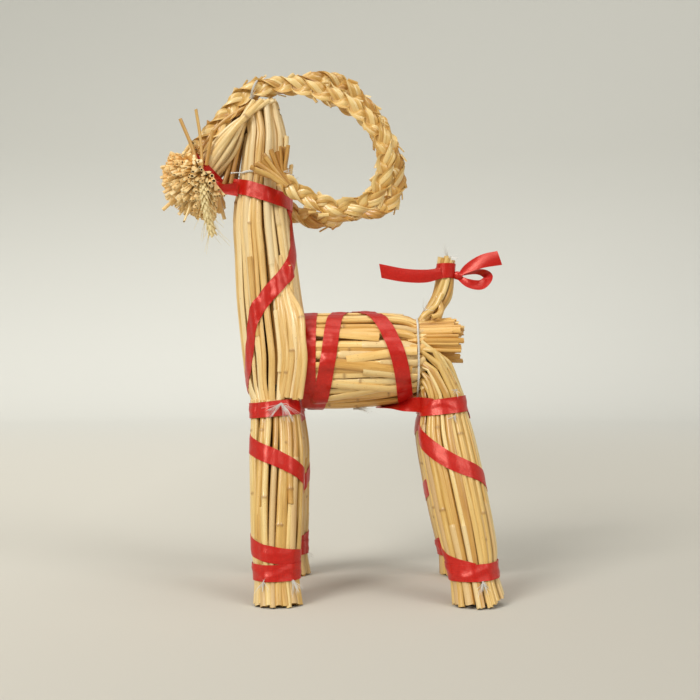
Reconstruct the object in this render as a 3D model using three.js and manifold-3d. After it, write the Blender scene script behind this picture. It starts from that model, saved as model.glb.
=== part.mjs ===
// A Yule goat of bundled rye straw: ridged straw bundles, two plaited horns, red ribbon and string.
// Millimetres, +Z up. The goat faces -X and its left side is -Y.
import * as THREE from 'three';
import { mergeVertices } from 'three/addons/utils/BufferGeometryUtils.js';
import Module from 'manifold-3d';

const wasm = await Module();
wasm.setup();

// Driving dimensions
const GAP = 0.35; // clearance between pieces that touch
const STRAW = 6.8; // spacing of the ridges round a bundle
const RIDGE = 1.4; // depth of the groove between two straws
const RIBBON_WIDTH = 9.5;
const RIBBON_THICK = 0.6;
const STRING_WIDTH = 1.2;
const PLAIT = { width: 11, thick: 7.4, pitch: 19, swell: 0.16, sides: 6, stepsPerPitch: 4 };
const HORN_END = { length: 21, width: 25, thick: 4.6, sides: 16 }; // the fan of straw ends past each horn's tie
const CLEARANCE_SIDES = 20;
const SPIRAL_GAP = 0.95; // clearance under a slanted ribbon, whose edges lie on different girths
const NECK_SPIRAL_GAP = 1.6; // the neck narrows faster
const CUT_SAG = 0.35; // how far a cutter's flat sides fall inside the round outline
const SAG = 0.75; // how far the middle of a flat step of ribbon falls inside its round path

const COLOURS = { straw: 0xdcb874, cutStraw: 0xd9b06a, ribbon: 0xc81f26, string: 0xeceae2 };

// Upright bundles, bottom to top: height, middle x, half length (x), half width (y)
const NECK = [
  [121.2, -55.6, 17, 28.8],
  [126, -55.8, 18.6, 29.5],
  [147, -55.4, 22, 29],
  [184, -59.8, 21.6, 23.5],
  [212, -62.4, 20.4, 20.5],
  [238, -64.7, 19.2, 19],
  [262, -63.8, 16.2, 16.8],
  [284, -62.6, 15, 16.4],
  [301, -62.6, 12, 13],
  [313, -64.5, 7, 8],
];
// Height, middle x, middle y as a distance from the goat's middle plane, half length, half width
const FORELEG = [
  [0, -50.3, 50, 15.4, 15.2],
  [8, -50.8, 47.8, 14.6, 14.6],
  [19.5, -51.6, 44.8, 14, 14],
  [32, -52, 41.2, 15.6, 15.6],
  [60, -52.4, 33.6, 17, 16.4],
  [97, -53, 23.4, 17.6, 15.4],
  [115.5, -54.6, 17.8, 15.2, 13.6],
  [120.8, -55.4, 16.6, 15.6, 13.8],
];
const HIND_LEG = [
  [0, 68.6, 50, 17, 16],
  [8, 67.6, 47.8, 16.4, 15.2],
  [19, 65.4, 44.8, 15.4, 14.4],
  [34, 63.4, 40.6, 17.6, 15.8],
  [68, 57, 32.2, 18.6, 16.6],
  [100, 51.2, 24, 18, 15.4],
  [120, 49.8, 18.8, 14.2, 13.4],
  [130, 48.2, 18.6, 15, 13.8],
  [142, 46, 20.2, 11.4, 10.6],
  [152, 42.6, 22.6, 6, 6.4],
  [158, 40.2, 24, 2.4, 3.4],
];
// The body lies along x: x, middle height, half width (y), half height
const BODY = [
  [-38.2, 145.3, 30.6, 30.8],
  [-16, 145.3, 31.2, 31.2],
  [12, 146.2, 30.6, 30.2],
  [28, 146.4, 28.8, 28.4],
  [34, 146, 26.8, 26.2],
  [38, 147.6, 26, 24.6],
  [43, 155, 22.6, 16.6],
  [50, 157.6, 21.4, 13.6],
  [64, 158, 22.6, 13.8],
];
const BODY_STRING_X = 34.4;
const NECK_STRING_Z = 264.8;
// The string that ties both horns down at the crown: its middle and half sizes across and up
const CROWN_STRING = { x: -73, z: 321, halfY: 12.4, halfZ: 10.4, steps: 12 };
// The tail: height, middle x, half length, half width
const TAIL = [
  [171.8, 43, 7.6, 6.6],
  [177, 45.4, 6.6, 6.4],
  [185, 50, 6.7, 6.2],
  [194, 52.2, 6, 5.8],
  [203, 52.9, 5.5, 5.5],
  [212.5, 54, 5.6, 5.6],
];
// The head: distance down its axis from the crown, half height, half width
const CROWN = new THREE.Vector3(-66, 0, 303);
const MUZZLE_TIE = new THREE.Vector3(-101.5, 0, 267);
const HEAD_LENGTH = CROWN.distanceTo(MUZZLE_TIE);
const BRUSH = { radius: 31, spread: THREE.MathUtils.degToRad(54) };
const HEAD = [
  [0, 9, 8],
  [12, 9.2, 12],
  [30, 9, 13],
  [HEAD_LENGTH - 8, 9, 11],
  [HEAD_LENGTH, 9.4, 10.4],
  [HEAD_LENGTH + 7, 13, 13.4],
];
// Each horn rises up the forehead, loops back over the neck and ends tied to the neck's side.
// Its points are x, distance from the middle plane, height.
const LEFT_HORN = [
  [-110, 5, 279.5],
  [-95, 5, 303],
  [-72.5, 6, 319],
  [-46, 9, 320.5],
  [-15.7, 15, 310.5],
  [7, 19, 292.5],
  [14.3, 21, 269.3],
  [5.6, 22, 245.5],
  [-17.4, 22, 240],
  [-39.7, 21.5, 249.5],
  [-50, 22.5, 257.5],
];
const RIGHT_HORN = [
  [-110, 5, 280.5],
  [-95, 5, 305],
  [-72.5, 6, 322.5],
  [-42.3, 10, 325.9],
  [-20.9, 13, 330],
  [0, 16, 315],
  [14, 18, 296],
  [23, 20, 266],
  [14, 21, 247],
  [-6, 21.5, 244],
  [-28, 22, 238.6],
  [-45, 22.8, 243],
  [-55, 23.6, 251.5],
];
// Where each leg's ribbon is: turns from the front of the leg, towards its outer side, and height
const FORELEG_RIBBON = [
  [-0.5, 112],
  [-0.25, 106],
  [0, 95],
  [0.25, 86.3],
  [0.5, 71.6],
  [1, 36.6],
  [1.25, 30],
  [1.5, 26.6],
  [1.75, 20.5],
];
const HIND_RIBBON = { left: [
  [-0.5, 114],
  [-0.25, 109],
  [0, 101],
  [0.25, 84],
  [0.5, 71.3],
  [0.75, 50],
  [1, 28],
  [1.25, 21],
], right: [
  [-0.5, 114],
  [-0.25, 109],
  [0, 103],
  [0.5, 81],
  [1, 58],
  [1.5, 36],
  [2, 19],
] };
// The neck's collar tilts down to the back; below it two straps cross the neck's sides from the
// back down to the chest: turns from the chest, and height
const COLLAR = { height: 251.2, tilt: 5.4 };
const NECK_RIBBON = [
  [0.015, 126.5],
  [0.06, 133],
  [0.103, 144],
  [0.169, 170],
  [0.25, 185],
  [0.444, 214],
  [0.52, 243],
];
// The body's ribbon: a ring beside the neck and two straps that cross over the back: turns from
// the left side, over the top, and x
const BODY_RING_X = -31.6;
const BODY_STRAPS = [
  [[-0.26, -31], [0, -21.5], [0.25, -14.4], [0.5, 4], [0.76, 26]],
  [[-0.26, 28], [0, 22.1], [0.25, 1.9], [0.5, -20], [0.76, -31]],
];
// Points along the ribbon's loose stretches, and the direction of the ribbon's width there
const MUZZLE_LINK = {
  points: [[-102, -11.6, 262.5], [-95, -12.8, 253.5], [-88, -13, 250.5], [-79.5, -10.2, 253.6]],
  across: [[0.5, 0, 0.3], [0.3, 0.6, 0.5], [0, -0.2, 1], [0, 0, 1]],
  width: 6,
};
const BOW_HEIGHT = 202.6;
const BOW_KNOT = { x: 60.9, y: -1.6, z: 199.6, radius: 3 };
const BOW_PARTS = [
  {
    points: [[50, -5.9, 201], [40, -8, 198.8], [26, -9.4, 199.2], [11, -9.4, 202]],
    across: [[0, 0, 1], [0, 0, 1], [0, 0.1, 1], [0.2, 0, 1]],
    width: 8.4,
  },
  {
    points: [[60.6, -2, 199.4], [66, -3, 204], [76, -5, 208.6], [87, -6, 210.6]],
    across: [[-0.2, 0.8, 0.6], [0, 0.5, 0.8], [-0.1, 0.3, 1], [-0.3, 0.1, 1]],
    width: 8.4,
  },
  {
    points: [
      [60.6, -2, 198.8], [67, -4.4, 194.2], [76, -3.4, 195], [79.4, 0, 199.6], [73, 3.4, 203],
      [61.2, 0.4, 200.4],
    ],
    across: [
      [0, 0.8, 0.4], [0.2, 0.8, 0.5], [0.1, 0.9, 0.3], [0, 1, 0.1], [0, 0.9, 0.3], [0, 0.8, 0.4],
    ],
    width: 6.4,
  },
];
// Wheat ear and loose stems tied in at the muzzle: points from the tie outwards
const WHEAT_EAR = {
  points: [[-101, -13.8, 262], [-99.5, -20, 251], [-98.5, -20.6, 242], [-95.5, -17, 228]],
  radius: 3.4,
};
const STEM_RADIUS = 1.1;
const STEMS = [
  [[-104.4, -13, 268.5], [-109, -11.6, 282], [-116, -11.4, 298.5]],
  [[-101.6, -13.6, 269], [-103, -12, 286], [-106, -11.6, 304.6]],
  [[-99, -14, 268.5], [-97, -14, 280], [-95, -14, 290.5]],
  [[-103, 13.4, 270], [-102.6, 12.4, 286], [-101.6, 12.4, 303]],
];
const FORELEG_BANDS = [115.4, 19.8];
const HIND_BANDS = [117, 20.2];

// A bundle is { at, centre, u, v, half }: u and v span its cross-section, and half gives the
// half sizes along them. Its stations are interpolated smoothly.
function bundle(stations, place, u, v) {
  const width = stations[0].length - 1;
  const positions = stations.map((row) => row[0]);
  const values = stations.flatMap((row) => row.slice(1));
  const curve = new THREE.CubicInterpolant(positions, values, width, new Float64Array(width));
  const first = positions[0];
  const last = positions[positions.length - 1];
  const row = (at) => [...curve.evaluate(THREE.MathUtils.clamp(at, first, last))];
  return {
    first,
    last,
    stations: positions,
    u,
    v,
    axis: new THREE.Vector3().crossVectors(u, v),
    centre: (at) => place(at, row(at)),
    half: (at) => row(at).slice(-2),
  };
}

const X = new THREE.Vector3(1, 0, 0);
const Y = new THREE.Vector3(0, 1, 0);
const Z = new THREE.Vector3(0, 0, 1);

const upright = (stations) => bundle(stations, (z, [x]) => new THREE.Vector3(x, 0, z), X, Y);
const leg = (stations, side) => bundle(
  stations,
  (z, [x, y]) => new THREE.Vector3(x, side * y, z),
  X,
  Y,
);
const level = (stations) => bundle(stations, (x, [z]) => new THREE.Vector3(x, 0, z), Y, Z);

function slanted(stations, start, end) {
  const axis = end.clone().sub(start).normalize();
  const up = new THREE.Vector3().crossVectors(Y, axis).normalize();
  const place = (at) => start.clone().addScaledVector(axis, at);
  return bundle(stations, place, up, new THREE.Vector3().crossVectors(axis, up));
}

const vectors = (points) => points.map(([x, y, z]) => new THREE.Vector3(x, y, z));

// Point on a bundle's surface, lifted off it by lift
function surfacePoint(limb, at, angle, lift = 0) {
  const [a, b] = limb.half(at);
  const cos = Math.cos(angle);
  const sin = Math.sin(angle);
  const normal = limb.u.clone().multiplyScalar(cos / a).addScaledVector(limb.v, sin / b);
  return limb.centre(at)
    .addScaledVector(limb.u, a * cos)
    .addScaledVector(limb.v, b * sin)
    .addScaledVector(normal.normalize(), lift);
}

// A closed solid from rings of points; a loop of rings has no ends, and other ends are fans
function loft(rings, loop = false) {
  const count = rings[0].length;
  const points = rings.flat();
  const index = [];
  const joins = loop ? rings.length : rings.length - 1;
  for (let i = 0; i < joins; i += 1) {
    const here = i * count;
    const next = ((i + 1) % rings.length) * count;
    for (let k = 0; k < count; k += 1) {
      const [a, b, c, d] = [here + k, here + ((k + 1) % count), next + ((k + 1) % count), next + k];
      const shortAC = points[a].distanceTo(points[c]) < points[b].distanceTo(points[d]);
      index.push(...(shortAC ? [a, b, c, a, c, d] : [a, b, d, b, c, d]));
    }
  }
  if (!loop) {
    for (const [ring, flip] of [[rings[0], true], [rings[rings.length - 1], false]]) {
      const start = flip ? 0 : (rings.length - 1) * count;
      const middle = points.length;
      points.push(ring.reduce((sum, p) => sum.add(p), new THREE.Vector3()).divideScalar(count));
      for (let k = 0; k < count; k += 1) {
        const l = (k + 1) % count;
        index.push(...(flip ? [middle, start + l, start + k] : [middle, start + k, start + l]));
      }
    }
  }
  return solidFrom(points.flatMap((p) => p.toArray()), index);
}

function solidFrom(coordinates, index) {
  const make = (triVerts) => new wasm.Manifold(new wasm.Mesh({
    numProp: 3,
    vertProperties: new Float32Array(coordinates),
    triVerts: new Uint32Array(triVerts),
  }));
  const solid = make(index);
  if (solid.volume() > 0) return solid;
  const turned = [];
  for (let i = 0; i < index.length; i += 3) turned.push(index[i], index[i + 2], index[i + 1]);
  return make(turned);
}

// Joins solids into one, and fills any pocket sealed between them
function union(...solids) {
  const whole = solids.reduce((sum, solid) => sum.add(solid));
  return whole.decompose().reduce((best, piece) => (piece.volume() > best.volume() ? piece : best));
}

// Straws round a bundle: crests on its outline with grooves between them
function ridged(limb, { grow = 0, ridge = RIDGE, twist = 0, ats = limb.stations } = {}) {
  const [a, b] = limb.half((limb.first + limb.last) / 2);
  const straws = Math.max(6, Math.round((Math.PI * (a + b)) / STRAW));
  return loft(ats.map((at) => {
    const ring = [];
    for (let k = 0; k < 2 * straws; k += 1) {
      const crest = k % 2 === 0;
      const uneven = 0.25 * Math.sin(k * 2.4) - 0.25;
      const lift = grow + (crest ? uneven : uneven - ridge);
      const angle = (k * Math.PI) / straws + twist * (at - limb.first);
      ring.push(surfacePoint(limb, at, angle, lift));
    }
    return ring;
  }));
}

// The smooth outline of a bundle, grown by a clearance, to cut its neighbours with
function clearance(limb, grow) {
  return loft(limb.stations.map((at) => Array.from(
    { length: CLEARANCE_SIDES },
    (_, k) => surfacePoint(limb, at, (2 * Math.PI * k) / CLEARANCE_SIDES, grow),
  )));
}

// The point of a bundle's surface nearest to a free point, lifted off it
function dropOnto(limb, point, at, lift) {
  const centre = limb.centre(at);
  const slide = point.clone().sub(centre).dot(limb.axis) / limb.centre(at + 0.5)
    .sub(limb.centre(at - 0.5)).dot(limb.axis);
  const there = at + slide;
  const [a, b] = limb.half(there);
  const out = point.clone().sub(limb.centre(there));
  return surfacePoint(limb, there, Math.atan2(out.dot(limb.v) / b, out.dot(limb.u) / a), lift);
}

// A flat strap laid on a bundle along a route of [angle, at]
function strap(limb, route, {
  width = RIBBON_WIDTH,
  thick = RIBBON_THICK,
  gap = GAP,
  loop = false,
} = {}) {
  const path = route.map(([angle, at]) => surfacePoint(limb, at, angle));
  const count = path.length;
  const rings = path.map((point, i) => {
    const before = loop ? path[(i + count - 1) % count] : path[Math.max(0, i - 1)];
    const after = loop ? path[(i + 1) % count] : path[Math.min(count - 1, i + 1)];
    const [angle, at] = route[i];
    const normal = surfacePoint(limb, at, angle, 1).sub(point);
    const across = after.clone().sub(before).cross(normal).normalize();
    const edge = (sign, lift) => dropOnto(
      limb,
      point.clone().addScaledVector(across, (sign * width) / 2),
      at,
      gap + SAG + lift,
    );
    return [edge(-1, 0), edge(1, 0), edge(1, thick), edge(-1, thick)];
  });
  return loft(rings, loop);
}

const turnSteps = (limb, at) => Math.ceil(Math.PI / Math.acos(1 - SAG / Math.max(...limb.half(at))));

function band(limb, at, { tilt = 0, ...sizes } = {}) {
  const steps = turnSteps(limb, at);
  const route = Array.from({ length: steps }, (_, i) => {
    const angle = (2 * Math.PI * i) / steps;
    return [angle, at + tilt * Math.cos(angle)];
  });
  return strap(limb, route, { ...sizes, loop: true });
}

// A spiral through marks of [turns, at]; side mirrors it to the goat's other side
function spiral(limb, marks, side, sizes = {}) {
  const curve = new THREE.CubicInterpolant(
    marks.map((mark) => mark[0]),
    marks.map((mark) => mark[1]),
    1,
    new Float64Array(1),
  );
  const first = marks[0][0];
  const last = marks[marks.length - 1][0];
  const middle = marks[Math.floor(marks.length / 2)][1];
  const steps = Math.round((last - first) * turnSteps(limb, middle));
  const route = Array.from({ length: steps + 1 }, (_, i) => {
    const turn = first + ((last - first) * i) / steps;
    return [side * 2 * Math.PI * (0.5 - turn), curve.evaluate(turn)[0]];
  });
  return strap(limb, route, sizes);
}

// A three-strand plait along a curve, its flat faces to the goat's sides
function plait(points, side) {
  const curve = new THREE.CatmullRomCurve3(
    points.map(([x, y, z]) => new THREE.Vector3(x, side * y, z)),
    false,
    'centripetal',
  );
  const length = curve.getLength();
  const steps = Math.round((length / PLAIT.pitch) * PLAIT.stepsPerPitch);
  const rings = [];
  for (let i = 0; i <= steps; i += 1) {
    const centre = curve.getPointAt(i / steps);
    const tangent = curve.getTangentAt(i / steps);
    const across = new THREE.Vector3().crossVectors(tangent, Y).normalize();
    const face = new THREE.Vector3().crossVectors(across, tangent);
    const phase = (2 * Math.PI * i) / PLAIT.stepsPerPitch;
    const ring = [];
    for (let k = 0; k < PLAIT.sides; k += 1) {
      const angle = (2 * Math.PI * k) / PLAIT.sides;
      const swell = 1 + PLAIT.swell * Math.cos(phase - Math.min(angle, 2 * Math.PI - angle));
      ring.push(centre.clone()
        .addScaledVector(across, (PLAIT.width / 2) * swell * Math.cos(angle))
        .addScaledVector(face, (PLAIT.thick / 2) * swell * Math.sin(angle)));
    }
    rings.push(ring);
  }
  return union(loft(rings), hornEnd(curve));
}

// The straw ends past a horn's tie: a flat fan with ridges, cut unevenly
function hornEnd(curve) {
  const start = curve.getPointAt(1);
  const tangent = curve.getTangentAt(1);
  const out = new THREE.Vector3(-0.55, 0, 0.84);
  const across = new THREE.Vector3().crossVectors(out, Y);
  const rings = [0, 0.35, 1].map((share) => {
    const w = THREE.MathUtils.lerp(PLAIT.width * 0.75, HORN_END.width, share) / 2;
    const t = THREE.MathUtils.lerp(PLAIT.thick * 0.7, HORN_END.thick, share) / 2;
    const ring = [];
    for (let k = 0; k < HORN_END.sides; k += 1) {
      const angle = (2 * Math.PI * k) / HORN_END.sides;
      const groove = k % 2 === 0 ? 1 : 0.72;
      const uneven = share * 2.2 * Math.sin(k * 1.9);
      ring.push(start.clone().addScaledVector(tangent, -4 * (1 - share))
        .addScaledVector(out, share * (HORN_END.length + uneven))
        .addScaledVector(across, w * Math.cos(angle))
        .addScaledVector(Y, t * groove * Math.sin(angle)));
    }
    return ring;
  });
  return loft(rings);
}

// A straight or curved round rod whose radius is radiusAt(share of its length)
function rod(points, radiusAt, { sides = 5, steps = points.length - 1 } = {}) {
  const curve = new THREE.CatmullRomCurve3(vectors(points));
  const rings = [];
  for (let i = 0; i <= steps; i += 1) {
    const tangent = curve.getTangentAt(i / steps);
    const reference = Math.abs(tangent.y) > 0.9 ? X : Y;
    const across = new THREE.Vector3().crossVectors(tangent, reference).normalize();
    const up = new THREE.Vector3().crossVectors(across, tangent);
    const r = radiusAt(i / steps);
    const centre = curve.getPointAt(i / steps);
    rings.push(Array.from({ length: sides }, (_, k) => {
      const angle = (2 * Math.PI * k) / sides;
      return centre.clone().addScaledVector(across, r * Math.cos(angle))
        .addScaledVector(up, r * Math.sin(angle));
    }));
  }
  return loft(rings);
}

// A free stretch of ribbon through points, each with the direction of its width
function freeRibbon({ points, across: acrosses, width }, steps = 2 * (points.length - 1)) {
  const curve = new THREE.CatmullRomCurve3(vectors(points));
  const widths = new THREE.CatmullRomCurve3(vectors(acrosses));
  const rings = [];
  for (let i = 0; i <= steps; i += 1) {
    const t = i / steps;
    const centre = curve.getPoint(t);
    const tangent = curve.getTangent(t);
    const across = widths.getPoint(t).normalize();
    const normal = new THREE.Vector3().crossVectors(tangent, across).normalize();
    rings.push([[-1, -1], [1, -1], [1, 1], [-1, 1]].map(([w, n]) => centre.clone()
      .addScaledVector(across, (w * width) / 2)
      .addScaledVector(normal, (n * RIBBON_THICK) / 2)));
  }
  return loft(rings);
}

// The limbs that every piece is laid on
const neckLimb = upright(NECK);
const bodyLimb = level(BODY);
const tailLimb = upright(TAIL);
const headLimb = slanted(HEAD, CROWN, MUZZLE_TIE);

const group = new THREE.Group();

function addPiece(name, solid, colour, roughness) {
  const mesh = solid.getMesh();
  const geometry = new THREE.BufferGeometry();
  geometry.setAttribute('position', new THREE.BufferAttribute(mesh.vertProperties, 3));
  geometry.setIndex(new THREE.BufferAttribute(mesh.triVerts, 1));
  geometry.computeVertexNormals();
  const material = new THREE.MeshStandardMaterial({
    color: colour,
    roughness,
    metalness: 0,
    flatShading: true,
  });
  const piece = new THREE.Mesh(geometry, material);
  piece.name = name;
  group.add(piece);
}

const addStraw = (name, solid) => addPiece(name, solid, COLOURS.straw, 0.5);
const addRibbon = (name, solid) => addPiece(name, solid, COLOURS.ribbon, 0.35);
const addString = (name, solid) => addPiece(name, solid, COLOURS.string, 0.6);

// Neck and head: the neck's straws fold forward at the crown and are tied at the muzzle
function brushStations() {
  const rows = [];
  for (const share of [1, 0.72, 0.4, 0.12]) {
    const angle = BRUSH.spread * share;
    const r = BRUSH.radius * Math.sin(angle);
    rows.push([HEAD_LENGTH + BRUSH.radius * Math.cos(angle), r, r]);
  }
  return rows;
}

function buildNeckAndHead() {
  const brushLimb = slanted([...HEAD, ...brushStations()], CROWN, MUZZLE_TIE);
  addStraw('neck_and_head_bundle', union(ridged(neckLimb), ridged(brushLimb)));
}

function buildBody() {
  addStraw('body_bundle', ridged(bodyLimb).subtract(clearance(neckLimb, GAP + CUT_SAG)));
}

const stringRound = (limb, at, gap = GAP, extra = 0) => band(limb, at, {
  width: STRING_WIDTH + 2 * extra,
  thick: STRING_WIDTH + extra,
  gap: gap - extra,
});

function buildLegs() {
  const clearOfBody = clearance(bodyLimb, GAP + CUT_SAG)
    .add(stringRound(bodyLimb, BODY_STRING_X, 0.5, 0.4));
  for (const [name, side] of [['left', -1], ['right', 1]]) {
    const fore = leg(FORELEG, side);
    const hind = leg(HIND_LEG, side);
    addStraw(`foreleg_${name}`, ridged(fore));
    addStraw(`hind_leg_${name}`, ridged(hind).subtract(clearOfBody));
    addRibbon(`foreleg_ribbon_${name}`, union(
      ...FORELEG_BANDS.map((height) => band(fore, height)),
      spiral(fore, FORELEG_RIBBON, side, { gap: SPIRAL_GAP }),
    ));
    addRibbon(`hind_leg_ribbon_${name}`, union(
      ...HIND_BANDS.map((height) => band(hind, height, { gap: SPIRAL_GAP })),
      spiral(hind, HIND_RIBBON[name], side, { gap: SPIRAL_GAP }),
    ));
  }
}

function buildTail() {
  const twisted = ridged(tailLimb, { ridge: 1.4, twist: 0.05 });
  addStraw('tail', twisted.subtract(clearance(bodyLimb, GAP + CUT_SAG)));
  const knot = new THREE.SphereGeometry(BOW_KNOT.radius, 8, 6);
  knot.deleteAttribute('normal');
  knot.deleteAttribute('uv');
  const lump = mergeVertices(knot).translate(BOW_KNOT.x, BOW_KNOT.y, BOW_KNOT.z);
  addRibbon('tail_bow', union(
    band(tailLimb, BOW_HEIGHT, { width: 9 }),
    solidFrom([...lump.attributes.position.array], [...lump.index.array]),
    ...BOW_PARTS.map((part) => freeRibbon(part)),
  ));
}

function buildNeckRibbon() {
  addRibbon('neck_ribbon', union(
    band(neckLimb, COLLAR.height, { tilt: -COLLAR.tilt }),
    ...[-1, 1].map((side) => spiral(neckLimb, NECK_RIBBON, side, { gap: NECK_SPIRAL_GAP })),
    band(headLimb, HEAD_LENGTH - 1, { width: 5 }),
    freeRibbon(MUZZLE_LINK),
  ));
}

function buildBodyRibbon() {
  addRibbon('body_ribbon', union(
    band(bodyLimb, BODY_RING_X),
    ...BODY_STRAPS.map((marks) => spiral(bodyLimb, marks, 1)),
  ));
}

function crownString() {
  const { x, z, halfY, halfZ, steps } = CROWN_STRING;
  const half = STRING_WIDTH / 2;
  return loft(Array.from({ length: steps }, (_, i) => {
    const angle = (2 * Math.PI * i) / steps;
    const out = new THREE.Vector3(0, Math.cos(angle), Math.sin(angle));
    return [[-half, 0], [half, 0], [half, STRING_WIDTH], [-half, STRING_WIDTH]].map(
      ([along, lift]) => new THREE.Vector3(x + along, halfY * out.y, z + halfZ * out.z)
        .addScaledVector(out, lift),
    );
  }), true);
}

function buildStrings() {
  addString('body_string', stringRound(bodyLimb, BODY_STRING_X));
  addString('neck_string', stringRound(neckLimb, NECK_STRING_Z));
  addString('crown_string', crownString());
}

function buildMuzzleStraws() {
  STEMS.forEach((points, i) => addStraw(`stem_${i + 1}`, rod(points, () => STEM_RADIUS)));
  const swell = (share) => WHEAT_EAR.radius * (0.35 + 0.65 * Math.sin(Math.PI * share ** 0.8));
  addStraw('wheat_ear', rod(WHEAT_EAR.points, swell, { sides: 6, steps: 6 }));
}

function buildHorns() {
  addStraw('horn_left', plait(LEFT_HORN, -1));
  addStraw('horn_right', plait(RIGHT_HORN, 1));
}

buildNeckAndHead();
buildBody();
buildLegs();
buildTail();
buildHorns();
buildNeckRibbon();
buildBodyRibbon();
buildStrings();
buildMuzzleStraws();

const box = new THREE.Box3().setFromObject(group);
const middle = box.getCenter(new THREE.Vector3());
group.position.set(-middle.x, -middle.y, -box.min.z);

export default group;
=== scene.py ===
"""A Yule goat of rye straw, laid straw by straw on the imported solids.

Sizes are in millimetres in the goat's own drawing frame, and MeshBuilder turns them into the
part's metres. The goat faces -X and its left side is -Y.
"""

import math

import bpy
import numpy as np
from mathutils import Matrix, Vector
from mathutils.bvhtree import BVHTree


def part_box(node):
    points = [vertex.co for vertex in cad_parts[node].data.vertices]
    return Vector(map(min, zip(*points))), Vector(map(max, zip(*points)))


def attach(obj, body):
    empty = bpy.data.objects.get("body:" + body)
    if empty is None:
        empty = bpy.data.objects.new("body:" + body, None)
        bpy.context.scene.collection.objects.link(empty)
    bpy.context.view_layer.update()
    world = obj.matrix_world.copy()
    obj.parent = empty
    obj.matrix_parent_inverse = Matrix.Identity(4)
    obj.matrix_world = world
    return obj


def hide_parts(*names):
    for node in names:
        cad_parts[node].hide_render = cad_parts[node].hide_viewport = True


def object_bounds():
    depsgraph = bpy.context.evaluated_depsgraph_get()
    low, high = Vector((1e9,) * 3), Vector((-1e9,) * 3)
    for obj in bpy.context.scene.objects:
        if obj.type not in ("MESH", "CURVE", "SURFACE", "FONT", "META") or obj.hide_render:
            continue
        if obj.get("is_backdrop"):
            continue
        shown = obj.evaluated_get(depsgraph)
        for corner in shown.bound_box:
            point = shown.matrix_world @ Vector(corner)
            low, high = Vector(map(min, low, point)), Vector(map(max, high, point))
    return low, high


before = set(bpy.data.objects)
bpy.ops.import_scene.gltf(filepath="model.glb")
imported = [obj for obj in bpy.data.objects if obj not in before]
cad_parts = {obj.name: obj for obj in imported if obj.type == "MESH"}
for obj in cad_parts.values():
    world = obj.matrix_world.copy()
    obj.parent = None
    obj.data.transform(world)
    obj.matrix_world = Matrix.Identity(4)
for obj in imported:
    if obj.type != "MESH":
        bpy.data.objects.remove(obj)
cad_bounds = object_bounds()
rng = np.random.default_rng(24)

MM = 0.001
SHARP_FROM = math.radians(52)   # edges sharper than this are shaded sharp

# Single straws
HOLLOW_DEPTH = 4.0         # how deep a straw's open end is modelled
# Rows of points inside the open end: share of the outside radius, depth, and how dark (mark)
# The marks darken down into the hollow: painted shade.
HOLLOW_ROWS = ((0.76, 0.0, -0.08), (0.684, HOLLOW_DEPTH, -1.0))
JOINT_CHANCE = 0.6         # straws over LONG_STRAW that show a joint
SHEATH_CHANCE = 0.4        # and that wear a dry leaf sheath along part of their length
LONG_STRAW = 45.0
INNER_SHADE_TONES = (0.8, 1.1)   # straws under the outer ones are darker, as painted shade

# ---------------------------------------------------------------- the goat's measures

# Upright bundles, bottom to top: height, middle x, half length (x), half width (y)
NECK = [
    (121.2, -55.6, 17, 28.8), (126, -55.8, 18.6, 29.5), (147, -55.4, 22, 29),
    (184, -59.8, 21.6, 23.5), (212, -62.4, 20.4, 20.5), (238, -64.7, 19.2, 19),
    (262, -63.8, 16.2, 16.8), (284, -62.6, 15, 16.4), (301, -62.6, 12, 13), (313, -64.5, 7, 8),
]
# Height, middle x, distance of the middle from the goat's middle plane, half length, half width
FORELEG = [
    (0, -50.3, 50, 15.4, 15.2), (8, -50.8, 47.8, 14.6, 14.6), (19.5, -51.6, 44.8, 14, 14),
    (32, -52, 41.2, 15.6, 15.6), (60, -52.4, 33.6, 17, 16.4), (97, -53, 23.4, 17.6, 15.4),
    (115.5, -54.6, 17.8, 15.2, 13.6), (120.8, -55.4, 16.6, 15.6, 13.8),
]
HIND_LEG = [
    (0, 68.6, 50, 17, 16), (8, 67.6, 47.8, 16.4, 15.2), (19, 65.4, 44.8, 15.4, 14.4),
    (34, 63.4, 40.6, 17.6, 15.8), (68, 57, 32.2, 18.6, 16.6), (100, 51.2, 24, 18, 15.4),
    (120, 49.8, 18.8, 14.2, 13.4), (130, 48.2, 18.6, 15, 13.8), (142, 46, 20.2, 11.4, 10.6),
    (152, 42.6, 22.6, 6, 6.4), (158, 40.2, 24, 2.4, 3.4),
]
# The body lies along x: x, middle height, half width (y), half height
BODY = [
    (-38.2, 145.3, 30.6, 30.8), (-16, 145.3, 31.2, 31.2), (12, 146.2, 30.6, 30.2),
    (28, 146.4, 28.8, 28.4), (34, 146, 26.8, 26.2), (38, 147.6, 26, 24.6),
    (43, 155, 22.6, 16.6), (50, 157.6, 21.4, 13.6), (64, 158, 22.6, 13.8),
]
BODY_STRING_X = 34.4
# The tail stands up from the rump, and has the neck's kind of rows
TAIL = [
    (171.8, 43, 7.6, 6.6), (177, 45.4, 6.6, 6.4), (185, 50, 6.7, 6.2), (194, 52.2, 6, 5.8),
    (203, 52.9, 5.5, 5.5), (212.5, 54, 5.6, 5.6),
]
CROWN = np.array((-66.0, 0.0, 303.0))
MUZZLE_TIE = np.array((-101.5, 0.0, 267.0))
HEAD_LENGTH = float(np.linalg.norm(MUZZLE_TIE - CROWN))
HEAD_HALF = (9.4, 10.4)      # half sizes of the head at its tie: up and across
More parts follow.
